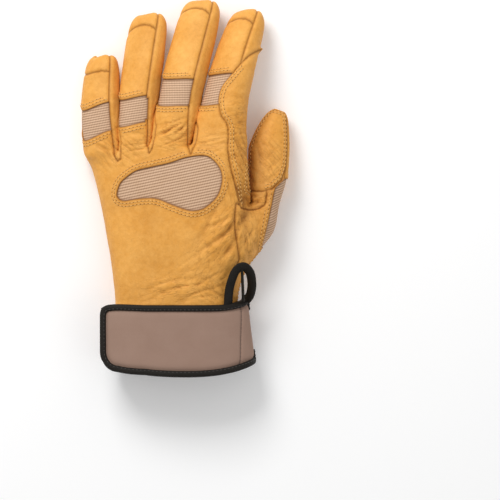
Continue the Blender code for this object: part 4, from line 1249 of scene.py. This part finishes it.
def sew_leather(name):
    piece = Piece(hand, name)
    height = sewn_height(piece, hand_folds)
    # Painted shade: darker beside each seam and down in the folds
    near_seam = np.exp(-(piece.seam_distance / SEAM_SHADE) ** 2) * 0.8
    painted_shade = np.clip(-hand_folds / 0.0016, 0, 1) * 0.55 + near_seam
    # Painted shade on the patch's flank that faces the index finger, and a lighter painted shade in the thumb's
    # crotch
    if name == "thumb_patch":
        painted_shade += THUMB_SHADE * np.clip(-hand.normals[:, 0] * 1.5 - 0.1, 0, 1)
    elif name in ("index_side", "thumb_base"):
        painted_shade += 0.5 * THUMB_SHADE * np.exp(-((hand.points[:, 0] - 0.046) / 0.012) ** 2 - ((hand.points[:, 1] + 0.010) / 0.018) ** 2)
    outsides[name] = stitched_up(piece, height, LEATHER, golden_leather, {"painted_shade": painted_shade, **fine_folds})
    pieces[name] = piece
    return piece


# The back of the hand is one large piece of leather, with a knit window over the knuckles.
# Two rows of thread hold the window's edge and the edges of the fingers' knit.
WINDOW_ROWS = (0.0018, 0.0036)
back = sew_leather("back_panel")
for away in WINDOW_ROWS:
    row_of_stitches(back, outsides["back_panel"], away, back.beside("knuckle_knit"))
    row_of_stitches(back, outsides["back_panel"], away,
                    back.beside("pinky_knit", "ring_knit", "middle_knit", "index_knit"))


# Each finger has a back, a cap over its tip, a pad and a crinkled crease piece below.
# Their seams are sewn inside out and turned, and the edges over knit are sewn flat in two rows.
EDGE_ROWS = (0.0018, 0.0036)
CAP_ROWS = (0.0012, 0.0030)
for finger in FINGERS:
    name = finger["name"]
    over_knuckle = sew_leather(f"{name}_back")
    for away in EDGE_ROWS:
        row_of_stitches(over_knuckle, outsides[f"{name}_back"], away, over_knuckle.beside(f"{name}_knit"))
    sew_leather(f"{name}_tip")
    pad = sew_leather(f"{name}_pad")
    for away in CAP_ROWS:
        row_of_stitches(pad, outsides[f"{name}_pad"], away, pad.beside(f"{name}_tip"))
        row_of_stitches(pad, outsides[f"{name}_pad"], away, pad.beside(f"{name}_crease"))
    sew_leather(f"{name}_crease")


# Long leather pieces run up the sides of the fingers and down into the webs between them.
# The one on the index finger comes over its back to a slanting seam, which is sewn down flat.
SLANT_ROWS = (0.0016, 0.0034)
for name in ("pinky_side", "web_pinky_ring", "web_ring_middle", "web_middle_index", "index_end_side", "hand_side"):
    sew_leather(name)
index_side = sew_leather("index_side")
for away in SLANT_ROWS:
    row_of_stitches(index_side, outsides["index_side"], away,
                    index_side.beside("back_panel", "index_knit", "index_back", "knuckle_knit"))


# The thumb has a patch over its back with two rows round its free edge, a pad below,
# and a base piece that runs down to the cuff.
THUMB_ROWS = (0.0016, 0.0034)
patch = sew_leather("thumb_patch")
for away in THUMB_ROWS:
    row_of_stitches(patch, outsides["thumb_patch"], away, patch.beside("thumb_pad", "thumb_base", "thenar_knit"))
for name in ("thumb_pad", "thumb_base"):
    sew_leather(name)
for away in THUMB_ROWS:
    row_of_stitches(pieces["thumb_base"], outsides["thumb_base"], away, pieces["thumb_base"].beside("thenar_knit"))


# The palm is a double layer where the rope runs. Its rows cross like a wide X, and a heel piece
# below it takes the wrist.
palm = sew_leather("palm_patch")
heel = sew_leather("heel_panel")
for away in (0.0014, 0.0034):
    row_of_stitches(palm, outsides["palm_patch"], away, palm.beside("heel_panel", "thenar_knit"))
    row_of_stitches(palm, outsides["palm_patch"], away, palm.beside(*[f"{f['name']}_crease" for f in FINGERS]))
# The wide X, as lines drawn over the palm between these ends in metres
PALM_CROSS = (((-0.0470, -0.0330), (0.0290, 0.0060)), ((-0.0420, 0.0080), (0.0260, -0.0500)))
CROSS_GAP = 0.0022
for (x1, y1), (x2, y2) in PALM_CROSS:
    length = math.hypot(x2 - x1, y2 - y1)
    off = ((hand.points[:, 0] - x1) * (y2 - y1) - (hand.points[:, 1] - y1) * (x2 - x1)) / length
    along = ((hand.points[:, 0] - x1) * (x2 - x1) + (hand.points[:, 1] - y1) * (y2 - y1)) / length
    keep = (along > 0) & (along < length) & (hand.normals[:, 2] < -0.2)
    for side in (-CROSS_GAP / 2, CROSS_GAP / 2):
        row_of_stitches(palm, outsides["palm_patch"], side, keep, values=off)


# The inserts are ribbed stretch knit, let in flush or a little below the leather round them.
# The ribs run across each finger, slantwise over the knuckles, and up the gusset beside the thumb.
KNIT = 0.0012
KNIT_SINK = 0.0007
KNIT_TAN = (0.740, 0.490, 0.310, 1.0)
KNIT_PALE = (0.860, 0.600, 0.420, 1.0)
KNIT_SHADE = (0.250, 0.130, 0.070, 1.0)
# For each insert: the heading of its ribs from +X in degrees, their spacing, and how far they follow
# the hand's side down
KNIT_ROWS = (
    ("pinky_knit", 10, 0.00155, 0.0), ("ring_knit", 8, 0.00155, 0.0), ("middle_knit", 0, 0.00155, 0.0),
    ("index_knit", 8, 0.00155, 0.0), ("knuckle_knit", 12, 0.00176, 0.0), ("thenar_knit", 12, 0.00160, 0.8),
)
COLUMN_SPACING = 0.0011


def knit_finish(name, tan, pale, shade):
    """Ribs by the stored rib count and stitch count, so that they follow the piece."""
    finish = Finish(name, 0.86)
    ribs, columns = finish.stored("ribs"), finish.stored("columns")
    rib = finish.node("ShaderNodeMath", {"operation": "SINE"}, {0: ribs * (2 * math.pi)}) * 0.5 + 0.5
    column = finish.node("ShaderNodeMath", {"operation": "SINE"}, {0: columns * (2 * math.pi)}) * 0.5 + 0.5
    fuzz = finish.noise(1500.0, 3.0, 0.6)
    patchy = finish.noise(120.0, 2.0, 0.5)
    height = (rib ** 0.7) * 0.8 + column * 0.35
    tone = ((rib ** 0.7) * 0.68 + column * 0.26 + fuzz * 0.3 - 0.1).clamped()
    colour = finish.mix((patchy * 0.8).clamped(), tan, pale)
    colour = finish.mix(tone, shade, colour)
    # Painted shade along the insert's edge, where it sinks below the leather
    colour = finish.mix(finish.stored("painted_shade").clamped(), colour, shade)
    finish.feed(finish.shader.inputs["Base Color"], colour)
    finish.raised(height + fuzz * 0.25, 0.55, 0.00030)
    finish.shader.inputs["Specular IOR Level"].default_value = 0.12
    return finish.material


tan_knit = knit_finish("tan_knit", KNIT_TAN, KNIT_PALE, KNIT_SHADE)
for name, heading, spacing, downward in KNIT_ROWS:
    insert = Piece(hand, name)
    heading = math.radians(heading)
    rightward = hand.points[:, 0] - downward * hand.points[:, 2]
    along = rightward * math.cos(heading) + hand.points[:, 1] * math.sin(heading)
    across = -rightward * math.sin(heading) + hand.points[:, 1] * math.cos(heading)
    sunk = -KNIT_SINK + 0.00025 * (1 - np.exp(-insert.seam_distance / 0.004)) + 0.4 * hand_folds
    # The knit's edge beside each seam is darkened with painted shade
    edge = np.exp(-(insert.seam_distance / 0.0007) ** 2) * 0.9
    outsides[name] = stitched_up(insert, sunk, KNIT, tan_knit, {
        "ribs": across / spacing, "columns": along / COLUMN_SPACING, "painted_shade": edge})


# The cuff is a soft neoprene band with a cloth face, bound at the mouth in black tape. A leather tab
# under the wrist carries a corded eyelet, from which the pair hangs on a karabiner.
NEOPRENE = 0.0026
CLOTH_MAUVE = (0.305, 0.192, 0.143, 1.0)
CLOTH_PALE = (0.375, 0.250, 0.194, 1.0)
TAPE_BLACK = (0.0110, 0.0090, 0.0070, 1.0)
TAPE_WORN = (0.026, 0.022, 0.018, 1.0)


def cloth_finish(name, ground, pale, roughness, weave, strength):
    """A fine plain weave, with the nap that catches the light."""
    finish = Finish(name, roughness)
    clouds = finish.noise(70.0, 3.0, 0.55)
    threads = finish.node("ShaderNodeTexWave", {"wave_type": "BANDS", "bands_direction": "X"}, {
        "Vector": finish.place(), "Scale": weave, "Distortion": 1.2, "Detail": 1.0}, "Fac")
    picks = finish.node("ShaderNodeTexWave", {"wave_type": "BANDS", "bands_direction": "Y"}, {
        "Vector": finish.place(), "Scale": weave, "Distortion": 1.2, "Detail": 1.0}, "Fac")
    fuzz = finish.noise(1900.0, 2.0, 0.6)
    tone = (clouds * 0.7 + fuzz * 0.5 + threads * 0.12 - 0.25).clamped()
    finish.feed(finish.shader.inputs["Base Color"], finish.mix(tone, ground, pale))
    finish.raised(threads * 0.5 + picks * 0.5 + fuzz * 0.5, strength, 0.00012)
    finish.shader.inputs["Specular IOR Level"].default_value = 0.14
    return finish.material


mauve_cloth = cloth_finish("mauve_neoprene", CLOTH_MAUVE, CLOTH_PALE, 0.82, 420.0, 0.5)
black_tape = cloth_finish("black_tape", TAPE_BLACK, TAPE_WORN, 0.62, 260.0, 0.9)


def tape_height(piece, width, rise):
    """A tape folded round an edge: round from seam to edge."""
    share = np.clip(piece.seam_distance / (width / 2), 0, 1)
    return rise * np.sqrt(np.clip(1 - (1 - share) ** 2, 0, 1)) - 0.3 * rise


band = Piece(hand, "cuff_band")
swell = CUFF_BAND_RISE + 0.0004 * (1 - np.exp(-band.seam_distance / 0.004)) + 0.5 * hand_folds
outsides["cuff_band"] = stitched_up(band, swell - 0.0007 * band.beside("back_panel", "heel_panel", "thumb_base")
                                    * np.exp(-(band.seam_distance / 0.002) ** 2), NEOPRENE, mauve_cloth)
binding = Piece(hand, "cuff_binding")
outsides["cuff_binding"] = stitched_up(binding, tape_height(binding, CUFF_BINDING, 0.0016) + 0.0004, 0.0034,
                                       black_tape)
row_of_stitches(binding, outsides["cuff_binding"], 0.0011,
                binding.beside("cuff_band", "cuff_tab"), "black")
for away in (0.0012, 0.0030):
    row_of_stitches(heel, outsides["heel_panel"], away, heel.beside("cuff_band", "cuff_tab"))

RIM_CORNERS = 96
rim_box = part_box("eyelet_rim")
eyelet = (rim_box[0] + rim_box[1]) / 2


def oval(centre, width, length, count):
    """A long hole's outline: two half circles joined by straight sides."""
    made = []
    for number in range(count):
        turn = 2 * math.pi * (number + 0.5) / count
        y = math.sin(turn)
        made.append((centre[0] + width / 2 * math.cos(turn),
                     centre[1] + width / 2 * y + math.copysign((length - width) / 2, y)))
    return made


hole = np.array(oval(eyelet, TAB_HOLE_WIDTH + 2 * RIM_RADIUS, TAB_HOLE_LENGTH + 2 * RIM_RADIUS, RIM_CORNERS))
in_hole = (hand.tags == hand.tag("cuff_tab")) & within(hand.points[hand.quads].mean(axis=1), hole)
hand.tags[in_hole] = hand.tag("tab_hole")
left_in_tab = np.unique(hand.quads[hand.tags == hand.tag("cuff_tab")])
for vert in np.intersect1d(np.unique(hand.quads[in_hole]), left_in_tab):
    hand.points[vert, :2] = hole[np.argmin(((hole - hand.points[vert, :2]) ** 2).sum(1))]
tab = Piece(hand, "cuff_tab")
tab_height = 0.0008 + 0.0003 * (1 - np.exp(-(tab.seam_distance / 0.0015) ** 2))
# The tab is darkened with painted shade beside its seams
outsides["cuff_tab"] = stitched_up(tab, tab_height, LEATHER, golden_leather,
                                   {"painted_shade": np.exp(-(tab.seam_distance / 0.0008) ** 2) * 0.6})
for away in (0.0018, 0.0036):
    row_of_stitches(tab, outsides["cuff_tab"], away)


def tube(name, path, section, replaced, finish, closed=True):
    """A solid round a path: section gives the corners of its outline at each place on the path."""
    made = bmesh.new()
    rings = [[made.verts.new(corner) for corner in section(number)] for number in range(len(path))]
    pairs = list(zip(rings, rings[1:] + rings[:1])) if closed else list(zip(rings, rings[1:]))
    for lower, upper in pairs:
        for corner in range(len(lower)):
            after = (corner + 1) % len(lower)
            made.faces.new((lower[corner], upper[corner], upper[after], lower[after]))
    if not closed:
        made.faces.new(rings[0])
        made.faces.new(reversed(rings[-1]))
    bmesh.ops.recalc_face_normals(made, faces=made.faces)
    data = bpy.data.meshes.new(name)
    made.to_mesh(data)
    made.free()
    data.materials.append(finish)
    data.shade_smooth()
    data.set_sharp_from_angle(angle=math.radians(60))
    for vert in data.vertices:
        vert.co.z = max(vert.co.z, 0.0)
    piece = show(name, data)
    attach(piece, "root")
    if replaced:
        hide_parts(replaced)
    return piece


CORD_TURNS = 26


def rim_section(number):
    """A corded rim: its round section swells with each turn of the thread."""
    x, y = hole[number]
    out = Vector((x - eyelet[0], y - eyelet[1], 0)).normalized()
    radius = RIM_RADIUS * (1 + 0.10 * math.cos(2 * math.pi * CORD_TURNS * number / RIM_CORNERS * 3))
    return [Vector((x, y, RIM_RADIUS)) + (out * math.cos(turn) + Vector((0, 0, 1)) * math.sin(turn)) * radius
            for turn in (2 * math.pi * step / 12 for step in range(12))]


tube("corded_eyelet", hole, rim_section, "eyelet_rim", golden_leather)


# The strap is the same neoprene, cut long, bound all round in black tape, and laid over the back of
# the cuff to its inner side, where it fastens. A seam in dark thread crosses its outer end.
STRAP_HEIGHT = 0.0380
STRAP_THICKNESS = 0.0028
STRAP_BINDING = 0.0042
STRAP_BINDING_RISE = 0.0005
STRAP_CLEARANCE = 0.0021
STRAP_OVERHANG = 0.0070
STRAP_TIP_RADIUS = 0.0075
STRAP_FLARE = 0.0090
STRAP_LIFT = 0.0015
STRAP_START, STRAP_END = math.radians(-12), math.radians(134)
STRAP_STATIONS = 10


def strap_cage():
    """The strap's surface: from the cuff's outer side over its back, and on past its inner side."""
    cage = Cage()
    top_y = WEB_LINE_Y - PALM_LENGTH + STRAP_LIFT
    rows = []
    band = STRAP_BINDING / STRAP_HEIGHT
    for share in (0.0, band, 1 - band, 1.0):
        ring_low, ring_high = CUFF_RINGS[0], PALM_RINGS[0]
        ring = {key: ring_high[key] + (ring_low[key] - ring_high[key]) * share
                for key in ("inner", "outer", "height", "thickness", "roll")}
        half = PALM_WIDTH / 2
        centre_x = PALM_CENTRE_X + half * (ring["inner"] + ring["outer"]) / 2
        clear = CUFF_BINDING_RISE + STRAP_CLEARANCE
        half_width = half * (ring["outer"] - ring["inner"]) / 2 + clear
        half_thickness = PALM_THICKNESS * ring["thickness"] / 2 + clear
        centre_z = ring["height"] * PALM_THICKNESS
        path = []
        for station in range(STRAP_STATIONS):
            turn = STRAP_START + (STRAP_END - STRAP_START) * station / (STRAP_STATIONS - 1)
            power = 2 / SECTION_POWER
            across = math.copysign(abs(math.cos(turn)) ** power, math.cos(turn))
            rise = math.copysign(abs(math.sin(turn)) ** power, math.sin(turn))
            path.append(Vector((centre_x + half_width * across, 0, centre_z + half_thickness * rise)))
        onward = (path[-1] - path[-2]).normalized()
        free_end = STRAP_OVERHANG + half_width * 0.22
        for step in (0.4, 1 - STRAP_BINDING / free_end, 1.0):
            drop = Vector((0, 0, -0.10 * free_end * step))
            path.append(path[STRAP_STATIONS - 1] + onward * (free_end * step) - drop)
        row = []
        for number, place in enumerate(path):
            along = number / (len(path) - 1)
            y = top_y - STRAP_HEIGHT * share
            y -= STRAP_FLARE * share * math.sin(math.pi * along) ** 2
            y += STRAP_FLARE * 0.6 * (1 - share) * max(0.0, 1 - 3 * along)
            if share in (0.0, 1.0) and number >= len(path) - 2:
                y += STRAP_TIP_RADIUS * (share - 0.5) * (1.0 if number == len(path) - 1 else 0.2)
            row.append(cage.point(Vector((place.x, y, place.z))))
        rows.append(row)
    last_column = len(rows[0]) - 2
    for number, (upper, lower) in enumerate(zip(rows, rows[1:])):
        for column in range(len(upper) - 1):
            edge = number in (0, len(rows) - 2) or column == last_column
            cage.face((upper[column], lower[column], lower[column + 1], upper[column + 1]),
                      "strap_binding" if edge else "strap")
    return cage


strap_form = strap_cage()
strap_data = rounded(strap_form, "strap_form")
strap_surface = Surface(strap_data, strap_form.panels)
if strap_surface.normals[:, 2].mean() < 0:
    strap_surface.normals *= -1
    strap_surface.quads = strap_surface.quads[:, ::-1]
# Its free end is cut a little aslant, with round corners
STRAP_TIP = ((-0.0533, -0.0787), (-0.0572, -0.1105))
STRAP_TIP_MOVES = (-0.0018, 0.0024)
STRAP_TIP_RISES = (0.0010, -0.0032)
STRAP_TIP_REACH = 0.0260
STRAP_CORNERS = (0.0075, 0.0120)
(tip_x, top_y), (foot_x, foot_y) = STRAP_TIP
down = (top_y - strap_surface.points[:, 1]) / (top_y - foot_y)
near_tip = np.clip(-strap_surface.points[:, 0] / STRAP_TIP_REACH - 1, 0, 1)
strap_surface.points[:, 0] += near_tip ** 2 * np.interp(down, (0, 1), STRAP_TIP_MOVES)
strap_surface.points[:, 1] += near_tip * np.interp(down, (0, 1), STRAP_TIP_RISES)
tip_line = tip_x + STRAP_TIP_MOVES[0] + (foot_x - tip_x + STRAP_TIP_MOVES[1] - STRAP_TIP_MOVES[0]) * down
strap_edge = Piece(strap_surface, "strap_binding")
free = strap_edge.rim[strap_surface.across(strap_edge.rim, strap_surface.tag("strap_binding")) < 0]
outline = np.unique(free)
for edge_y, side, corner in ((top_y + 0.0035, 1, STRAP_CORNERS[0]), (foot_y - 0.0072, -1, STRAP_CORNERS[1])):
    across = 1 - (strap_surface.points[:, 0] - tip_line) / corner
    along = 1 - side * (edge_y - strap_surface.points[:, 1]) / corner
    turn, reach = np.arctan2(along, across), np.hypot(along, across)
    bend = outline[(across[outline] > 0) & (along[outline] > 0)]
    bend = bend[np.argsort(turn[bend])]
    wanted = reach[bend[0]] * np.cos(turn) ** 2 + reach[bend[-1]] * np.sin(turn) ** 2
    pull = np.where((across > 0) & (along > 0), wanted / np.interp(turn, turn[bend], reach[bend]) - 1, 0.0)
    strap_surface.points[:, 0] -= corner * across * pull
    strap_surface.points[:, 1] += side * corner * along * pull

edge_tree = KDTree(len(free))
for number, (first, second) in enumerate(free):
    edge_tree.insert((strap_surface.points[first] + strap_surface.points[second]) / 2, number)
edge_tree.balance()
inward = np.array([edge_tree.find(place)[2] for place in strap_surface.points])
strap_surface.recut(inward - STRAP_BINDING, ["strap_binding"], "strap")
strap = Piece(strap_surface, "strap")
plump = STRAP_THICKNESS + 0.0005 * (1 - np.exp(-(strap.seam_distance / 0.0022) ** 2)) - 0.0006 * np.exp(
    -(strap.seam_distance / 0.0010) ** 2)
seam_x = 0.0345
plump = plump - 0.0006 * np.exp(-((strap_surface.points[:, 0] - seam_x) / 0.0006) ** 2)
for vert in strap.verts:
    place = Vector(strap_surface.points[vert])
    plump[vert] += 0.00035 * noise.noise(place / 0.016)
strap_out = stitched_up(strap, plump, 0.0, mauve_cloth)
strap_tape = Piece(strap_surface, "strap_binding")
strap_tape_out = stitched_up(strap_tape, STRAP_THICKNESS + tape_height(strap_tape, STRAP_BINDING, 0.0018), 0.0006,
                             black_tape)
row_of_stitches(strap_tape, strap_tape_out, 0.0010, strap_tape.beside("strap"), "black")
row_of_stitches(strap, strap_out, seam_x, values=strap_surface.points[:, 0], colour="mauve")


# The pull loop is the same tape, folded and stood on edge at the strap's outer end.
# A finger hooks it to draw the glove on.
LOOP_WIDTH = 0.0153
LOOP_HEIGHT = 0.0225
LOOP_RISE = 0.0100
LOOP_TAPE = 0.0072
LOOP_TAPE_THICKNESS = 0.0020
LOOP_ROOT_INSET = 0.0064
LOOP_LIFT = 0.0040
LOOP_CLEARANCE = 0.0004
LOOP_CONE = 1.0
LOOP_LINE = (
    (-0.02, -0.15, -0.10), (0.00, 0.00, 0.00), (0.03, 0.26, 0.22), (0.10, 0.50, 0.42), (0.28, 0.83, 0.60), (0.50, 0.98, 0.62),
    (0.72, 0.98, 0.50), (0.93, 0.80, 0.15), (1.00, 0.48, -0.32), (0.93, 0.20, -0.72), (0.78, 0.04, -1.00),
)
LOOP_STEPS = 7
LOOP_CORNERS = 16
loop_ring = PALM_RINGS[0]
loop_root = Vector((
    PALM_CENTRE_X + loop_ring["outer"] * PALM_WIDTH / 2 - LOOP_ROOT_INSET,
    cuff_line + LOOP_LIFT,
    PALM_THICKNESS * (loop_ring["height"] + loop_ring["thickness"] / 2) + LOOP_CLEARANCE,
))
loop_path = [loop_root + Vector((LOOP_WIDTH * x, LOOP_HEIGHT * y, LOOP_RISE * z)) for x, y, z in drawn(LOOP_LINE, LOOP_STEPS)]


def loop_section(number):
    """The folded tape: a flat rounded section, pinched in along a stitched line."""
    before, after = loop_path[max(number - 1, 0)], loop_path[min(number + 1, len(loop_path) - 1)]
    along = (after - before).normalized()
    outward = along.cross(Vector((0, 0, 1))).normalized()
    across = (Vector((0, 0, 1)) - outward * LOOP_CONE).normalized()
    across = (across - along * across.dot(along)).normalized()
    out = along.cross(across)
    corners = []
    for step in range(LOOP_CORNERS):
        turn = 2 * math.pi * step / LOOP_CORNERS
        wide, thin = math.cos(turn), math.sin(turn)
        thin *= 1 - 0.35 * math.exp(-((wide + 0.45) / 0.18) ** 2)
        corners.append(loop_path[number] + across * (LOOP_TAPE / 2 * math.copysign(abs(wide) ** 0.7, wide))
                       + out * (LOOP_TAPE_THICKNESS / 2 * math.copysign(abs(thin) ** 0.8, thin) * 1.1))
    return corners


tube("tape_loop", loop_path, loop_section, "pull_loop", black_tape, closed=False)

# The tape's inner ply stands across the loop's eye, from its fold down to the strap
BAR_LINE = ((0.58, 0.93, 0.45), (0.60, 0.60, 0.25), (0.62, 0.30, -0.05), (0.63, -0.02, -0.35))
BAR_WIDTH = 0.0034
BAR_THICKNESS = 0.0019
bar_path = [loop_root + Vector((LOOP_WIDTH * x, LOOP_HEIGHT * y, LOOP_RISE * z)) for x, y, z in drawn(BAR_LINE, LOOP_STEPS)]


def bar_section(number):
    corners = []
    for step in range(LOOP_CORNERS):
        turn = 2 * math.pi * step / LOOP_CORNERS
        wide, thin = math.cos(turn) * BAR_THICKNESS / 2, math.sin(turn) * BAR_WIDTH / 2
        corners.append(bar_path[number] + Vector((wide, 0, thin)))
    return corners


tube("tape_loop_ply", bar_path, bar_section, None, black_tape, closed=False)


# The sewing thread: gold on the leather, black on the tape, mauve on the strap. Every stitch is a
# short run of thread that dips at both ends, laid along its row at an even pitch.
# Between the stitches a small dark disc stands where the needle hole is: painted shade.
STITCH_LENGTH = 0.0016
STITCH_PITCH = 0.0026
THREAD_WIDTH = 0.00072
# Each thread's second colour is the painted shade of its needle holes
THREAD_COLOURS = (
    ("gold", (0.930, 0.560, 0.180, 1.0), (0.230, 0.090, 0.022, 1.0), "leather"),
    ("black", (0.045, 0.040, 0.036, 1.0), (0.008, 0.007, 0.006, 1.0), "black_tape"),
    ("mauve", (0.180, 0.120, 0.098, 1.0), (0.090, 0.055, 0.042, 1.0), "neoprene"),
)


def thread_finish(name, colour):
    finish = Finish(name, 0.6)
    fibres = finish.noise(2200.0, 2.0, 0.6)
    darker = (colour[0] * 0.6, colour[1] * 0.55, colour[2] * 0.5, 1.0)
    finish.feed(finish.shader.inputs["Base Color"], finish.mix((fibres * 1.2 - 0.1).clamped(), darker, colour))
    finish.raised(fibres, 0.4, 0.0001)
    return finish.material


def stitching_tree():
    """Lays a stitch along each run: resampled at the pitch, turned to the run and to the surface."""
    tree = bpy.data.node_groups.new("stitching", "GeometryNodeTree")
    face = tree.interface
    for name, kind in (("Rows", "NodeSocketGeometry"), ("Pitch", "NodeSocketFloat"), ("Stitch Length", "NodeSocketFloat"),
                       ("Thread Width", "NodeSocketFloat"), ("Thread", "NodeSocketMaterial"),
                       ("Needle Hole Shade", "NodeSocketMaterial")):
        face.new_socket(name, in_out="INPUT", socket_type=kind)
    face.new_socket("Stitches", in_out="OUTPUT", socket_type="NodeSocketGeometry")

    def node(kind, settings=None, inputs=None):
        made = tree.nodes.new(kind)
        for key, value in (settings or {}).items():
            setattr(made, key, value)
        for key, value in (inputs or {}).items():
            if isinstance(value, bpy.types.NodeSocket):
                tree.links.new(value, made.inputs[key])
            else:
                made.inputs[key].default_value = value
        return made

    given = node("NodeGroupInput")
    curves = node("GeometryNodeMeshToCurve", {}, {0: given.outputs["Rows"]})
    step = node("ShaderNodeMath", {"operation": "MULTIPLY"}, {0: given.outputs["Pitch"], 1: 0.5})
    even = node("GeometryNodeResampleCurve", {"mode": "LENGTH"}, {"Curve": curves.outputs[0], "Length": step.outputs[0]})
    index = node("GeometryNodeInputIndex")
    odd = node("ShaderNodeMath", {"operation": "MODULO"}, {0: index.outputs[0], 1: 2.0})
    first = node("FunctionNodeCompare", {"data_type": "FLOAT", "operation": "LESS_THAN"}, {0: odd.outputs[0], 1: 0.5})
    second = node("FunctionNodeBooleanMath", {"operation": "NOT"}, {0: first.outputs[0]})
    ball = node("GeometryNodeMeshUVSphere", {}, {"Segments": 6, "Rings": 4, "Radius": 0.5})
    size = node("ShaderNodeCombineXYZ", {}, {0: given.outputs["Stitch Length"], 1: given.outputs["Thread Width"],
                                             2: given.outputs["Thread Width"]})
    stitch = node("GeometryNodeTransform", {}, {"Geometry": ball.outputs["Mesh"], "Scale": size.outputs[0]})
    tangent = node("GeometryNodeInputTangent")
    up = node("GeometryNodeInputNamedAttribute", {"data_type": "FLOAT_VECTOR"}, {"Name": "up"})
    along = node("FunctionNodeAlignRotationToVector", {"axis": "X"}, {"Vector": tangent.outputs[0]})
    turned = node("FunctionNodeAlignRotationToVector", {"axis": "Z", "pivot_axis": "X"},
                  {"Rotation": along.outputs[0], "Vector": up.outputs[0]})
    laid = node("GeometryNodeInstanceOnPoints", {}, {
        "Points": even.outputs[0], "Selection": first.outputs[0], "Instance": stitch.outputs[0],
        "Rotation": turned.outputs[0]})
    # A flat dark disc at every other point is painted shade for the needle hole
    hole_shade_disc = node("GeometryNodeMeshUVSphere", {}, {"Segments": 6, "Rings": 4, "Radius": 0.5})
    wide = node("ShaderNodeMath", {"operation": "MULTIPLY"}, {0: given.outputs["Thread Width"], 1: 0.95})
    flat = node("ShaderNodeMath", {"operation": "MULTIPLY"}, {0: given.outputs["Thread Width"], 1: 0.35})
    hole_shade_size = node("ShaderNodeCombineXYZ", {}, {0: wide.outputs[0], 1: wide.outputs[0], 2: flat.outputs[0]})
    hole = node("GeometryNodeTransform", {}, {"Geometry": hole_shade_disc.outputs["Mesh"], "Scale": hole_shade_size.outputs[0]})
    pricked = node("GeometryNodeInstanceOnPoints", {}, {
        "Points": even.outputs[0], "Selection": second.outputs[0], "Instance": hole.outputs[0],
        "Rotation": turned.outputs[0]})
    dyed = []
    for row, material in ((laid, "Thread"), (pricked, "Needle Hole Shade")):
        real = node("GeometryNodeRealizeInstances", {}, {0: row.outputs[0]})
        smooth = node("GeometryNodeSetShadeSmooth", {}, {0: real.outputs[0]})
        dyed.append(node("GeometryNodeSetMaterial", {}, {"Geometry": smooth.outputs[0], "Material": given.outputs[material]}))
    joined = node("GeometryNodeJoinGeometry")
    for row in dyed:
        tree.links.new(row.outputs[0], joined.inputs[0])
    node("NodeGroupOutput", {}, {0: joined.outputs[0]})
    return tree


stitching = stitching_tree()
inputs = {item.name: item.identifier for item in stitching.interface.items_tree if item.in_out == "INPUT"}
for colour, shade, hole_shade, slot in THREAD_COLOURS:
    places, ups, edges, base = [], [], [], 0
    for run_places, run_ups, run_edges in RUNS[colour]:
        places.append(run_places + run_ups * 0.00010)
        ups.append(run_ups)
        edges.append(run_edges + base)
        base += len(run_places)
    rows = bpy.data.meshes.new(f"{colour}_rows")
    rows.from_pydata(np.concatenate(places).tolist(), np.concatenate(edges).tolist(), [])
    stored = rows.attributes.new("up", "FLOAT_VECTOR", "POINT")
    stored.data.foreach_set("vector", np.concatenate(ups).ravel())
    guide = show(f"{colour}_rows", rows)
    sewing = guide.modifiers.new("sewing", "NODES")
    sewing.node_group = stitching
    for name, value in (("Pitch", STITCH_PITCH), ("Stitch Length", STITCH_LENGTH), ("Thread Width", THREAD_WIDTH),
                        ("Thread", thread_finish(f"{colour}_thread", shade)), 
                        ("Needle Hole Shade", thread_finish(f"{colour}_needle_hole_shade", hole_shade))):
        sewing[inputs[name]] = value
    bpy.context.view_layer.update()
    data = bpy.data.meshes.new_from_object(guide.evaluated_get(bpy.context.evaluated_depsgraph_get()))
    bpy.data.objects.remove(guide)
    data.name = f"{colour}_stitches"
    for vert in data.vertices:
        vert.co.z = max(vert.co.z, 0.0)
    stitches = show(f"{colour}_stitches", data)
    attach(stitches, "root")
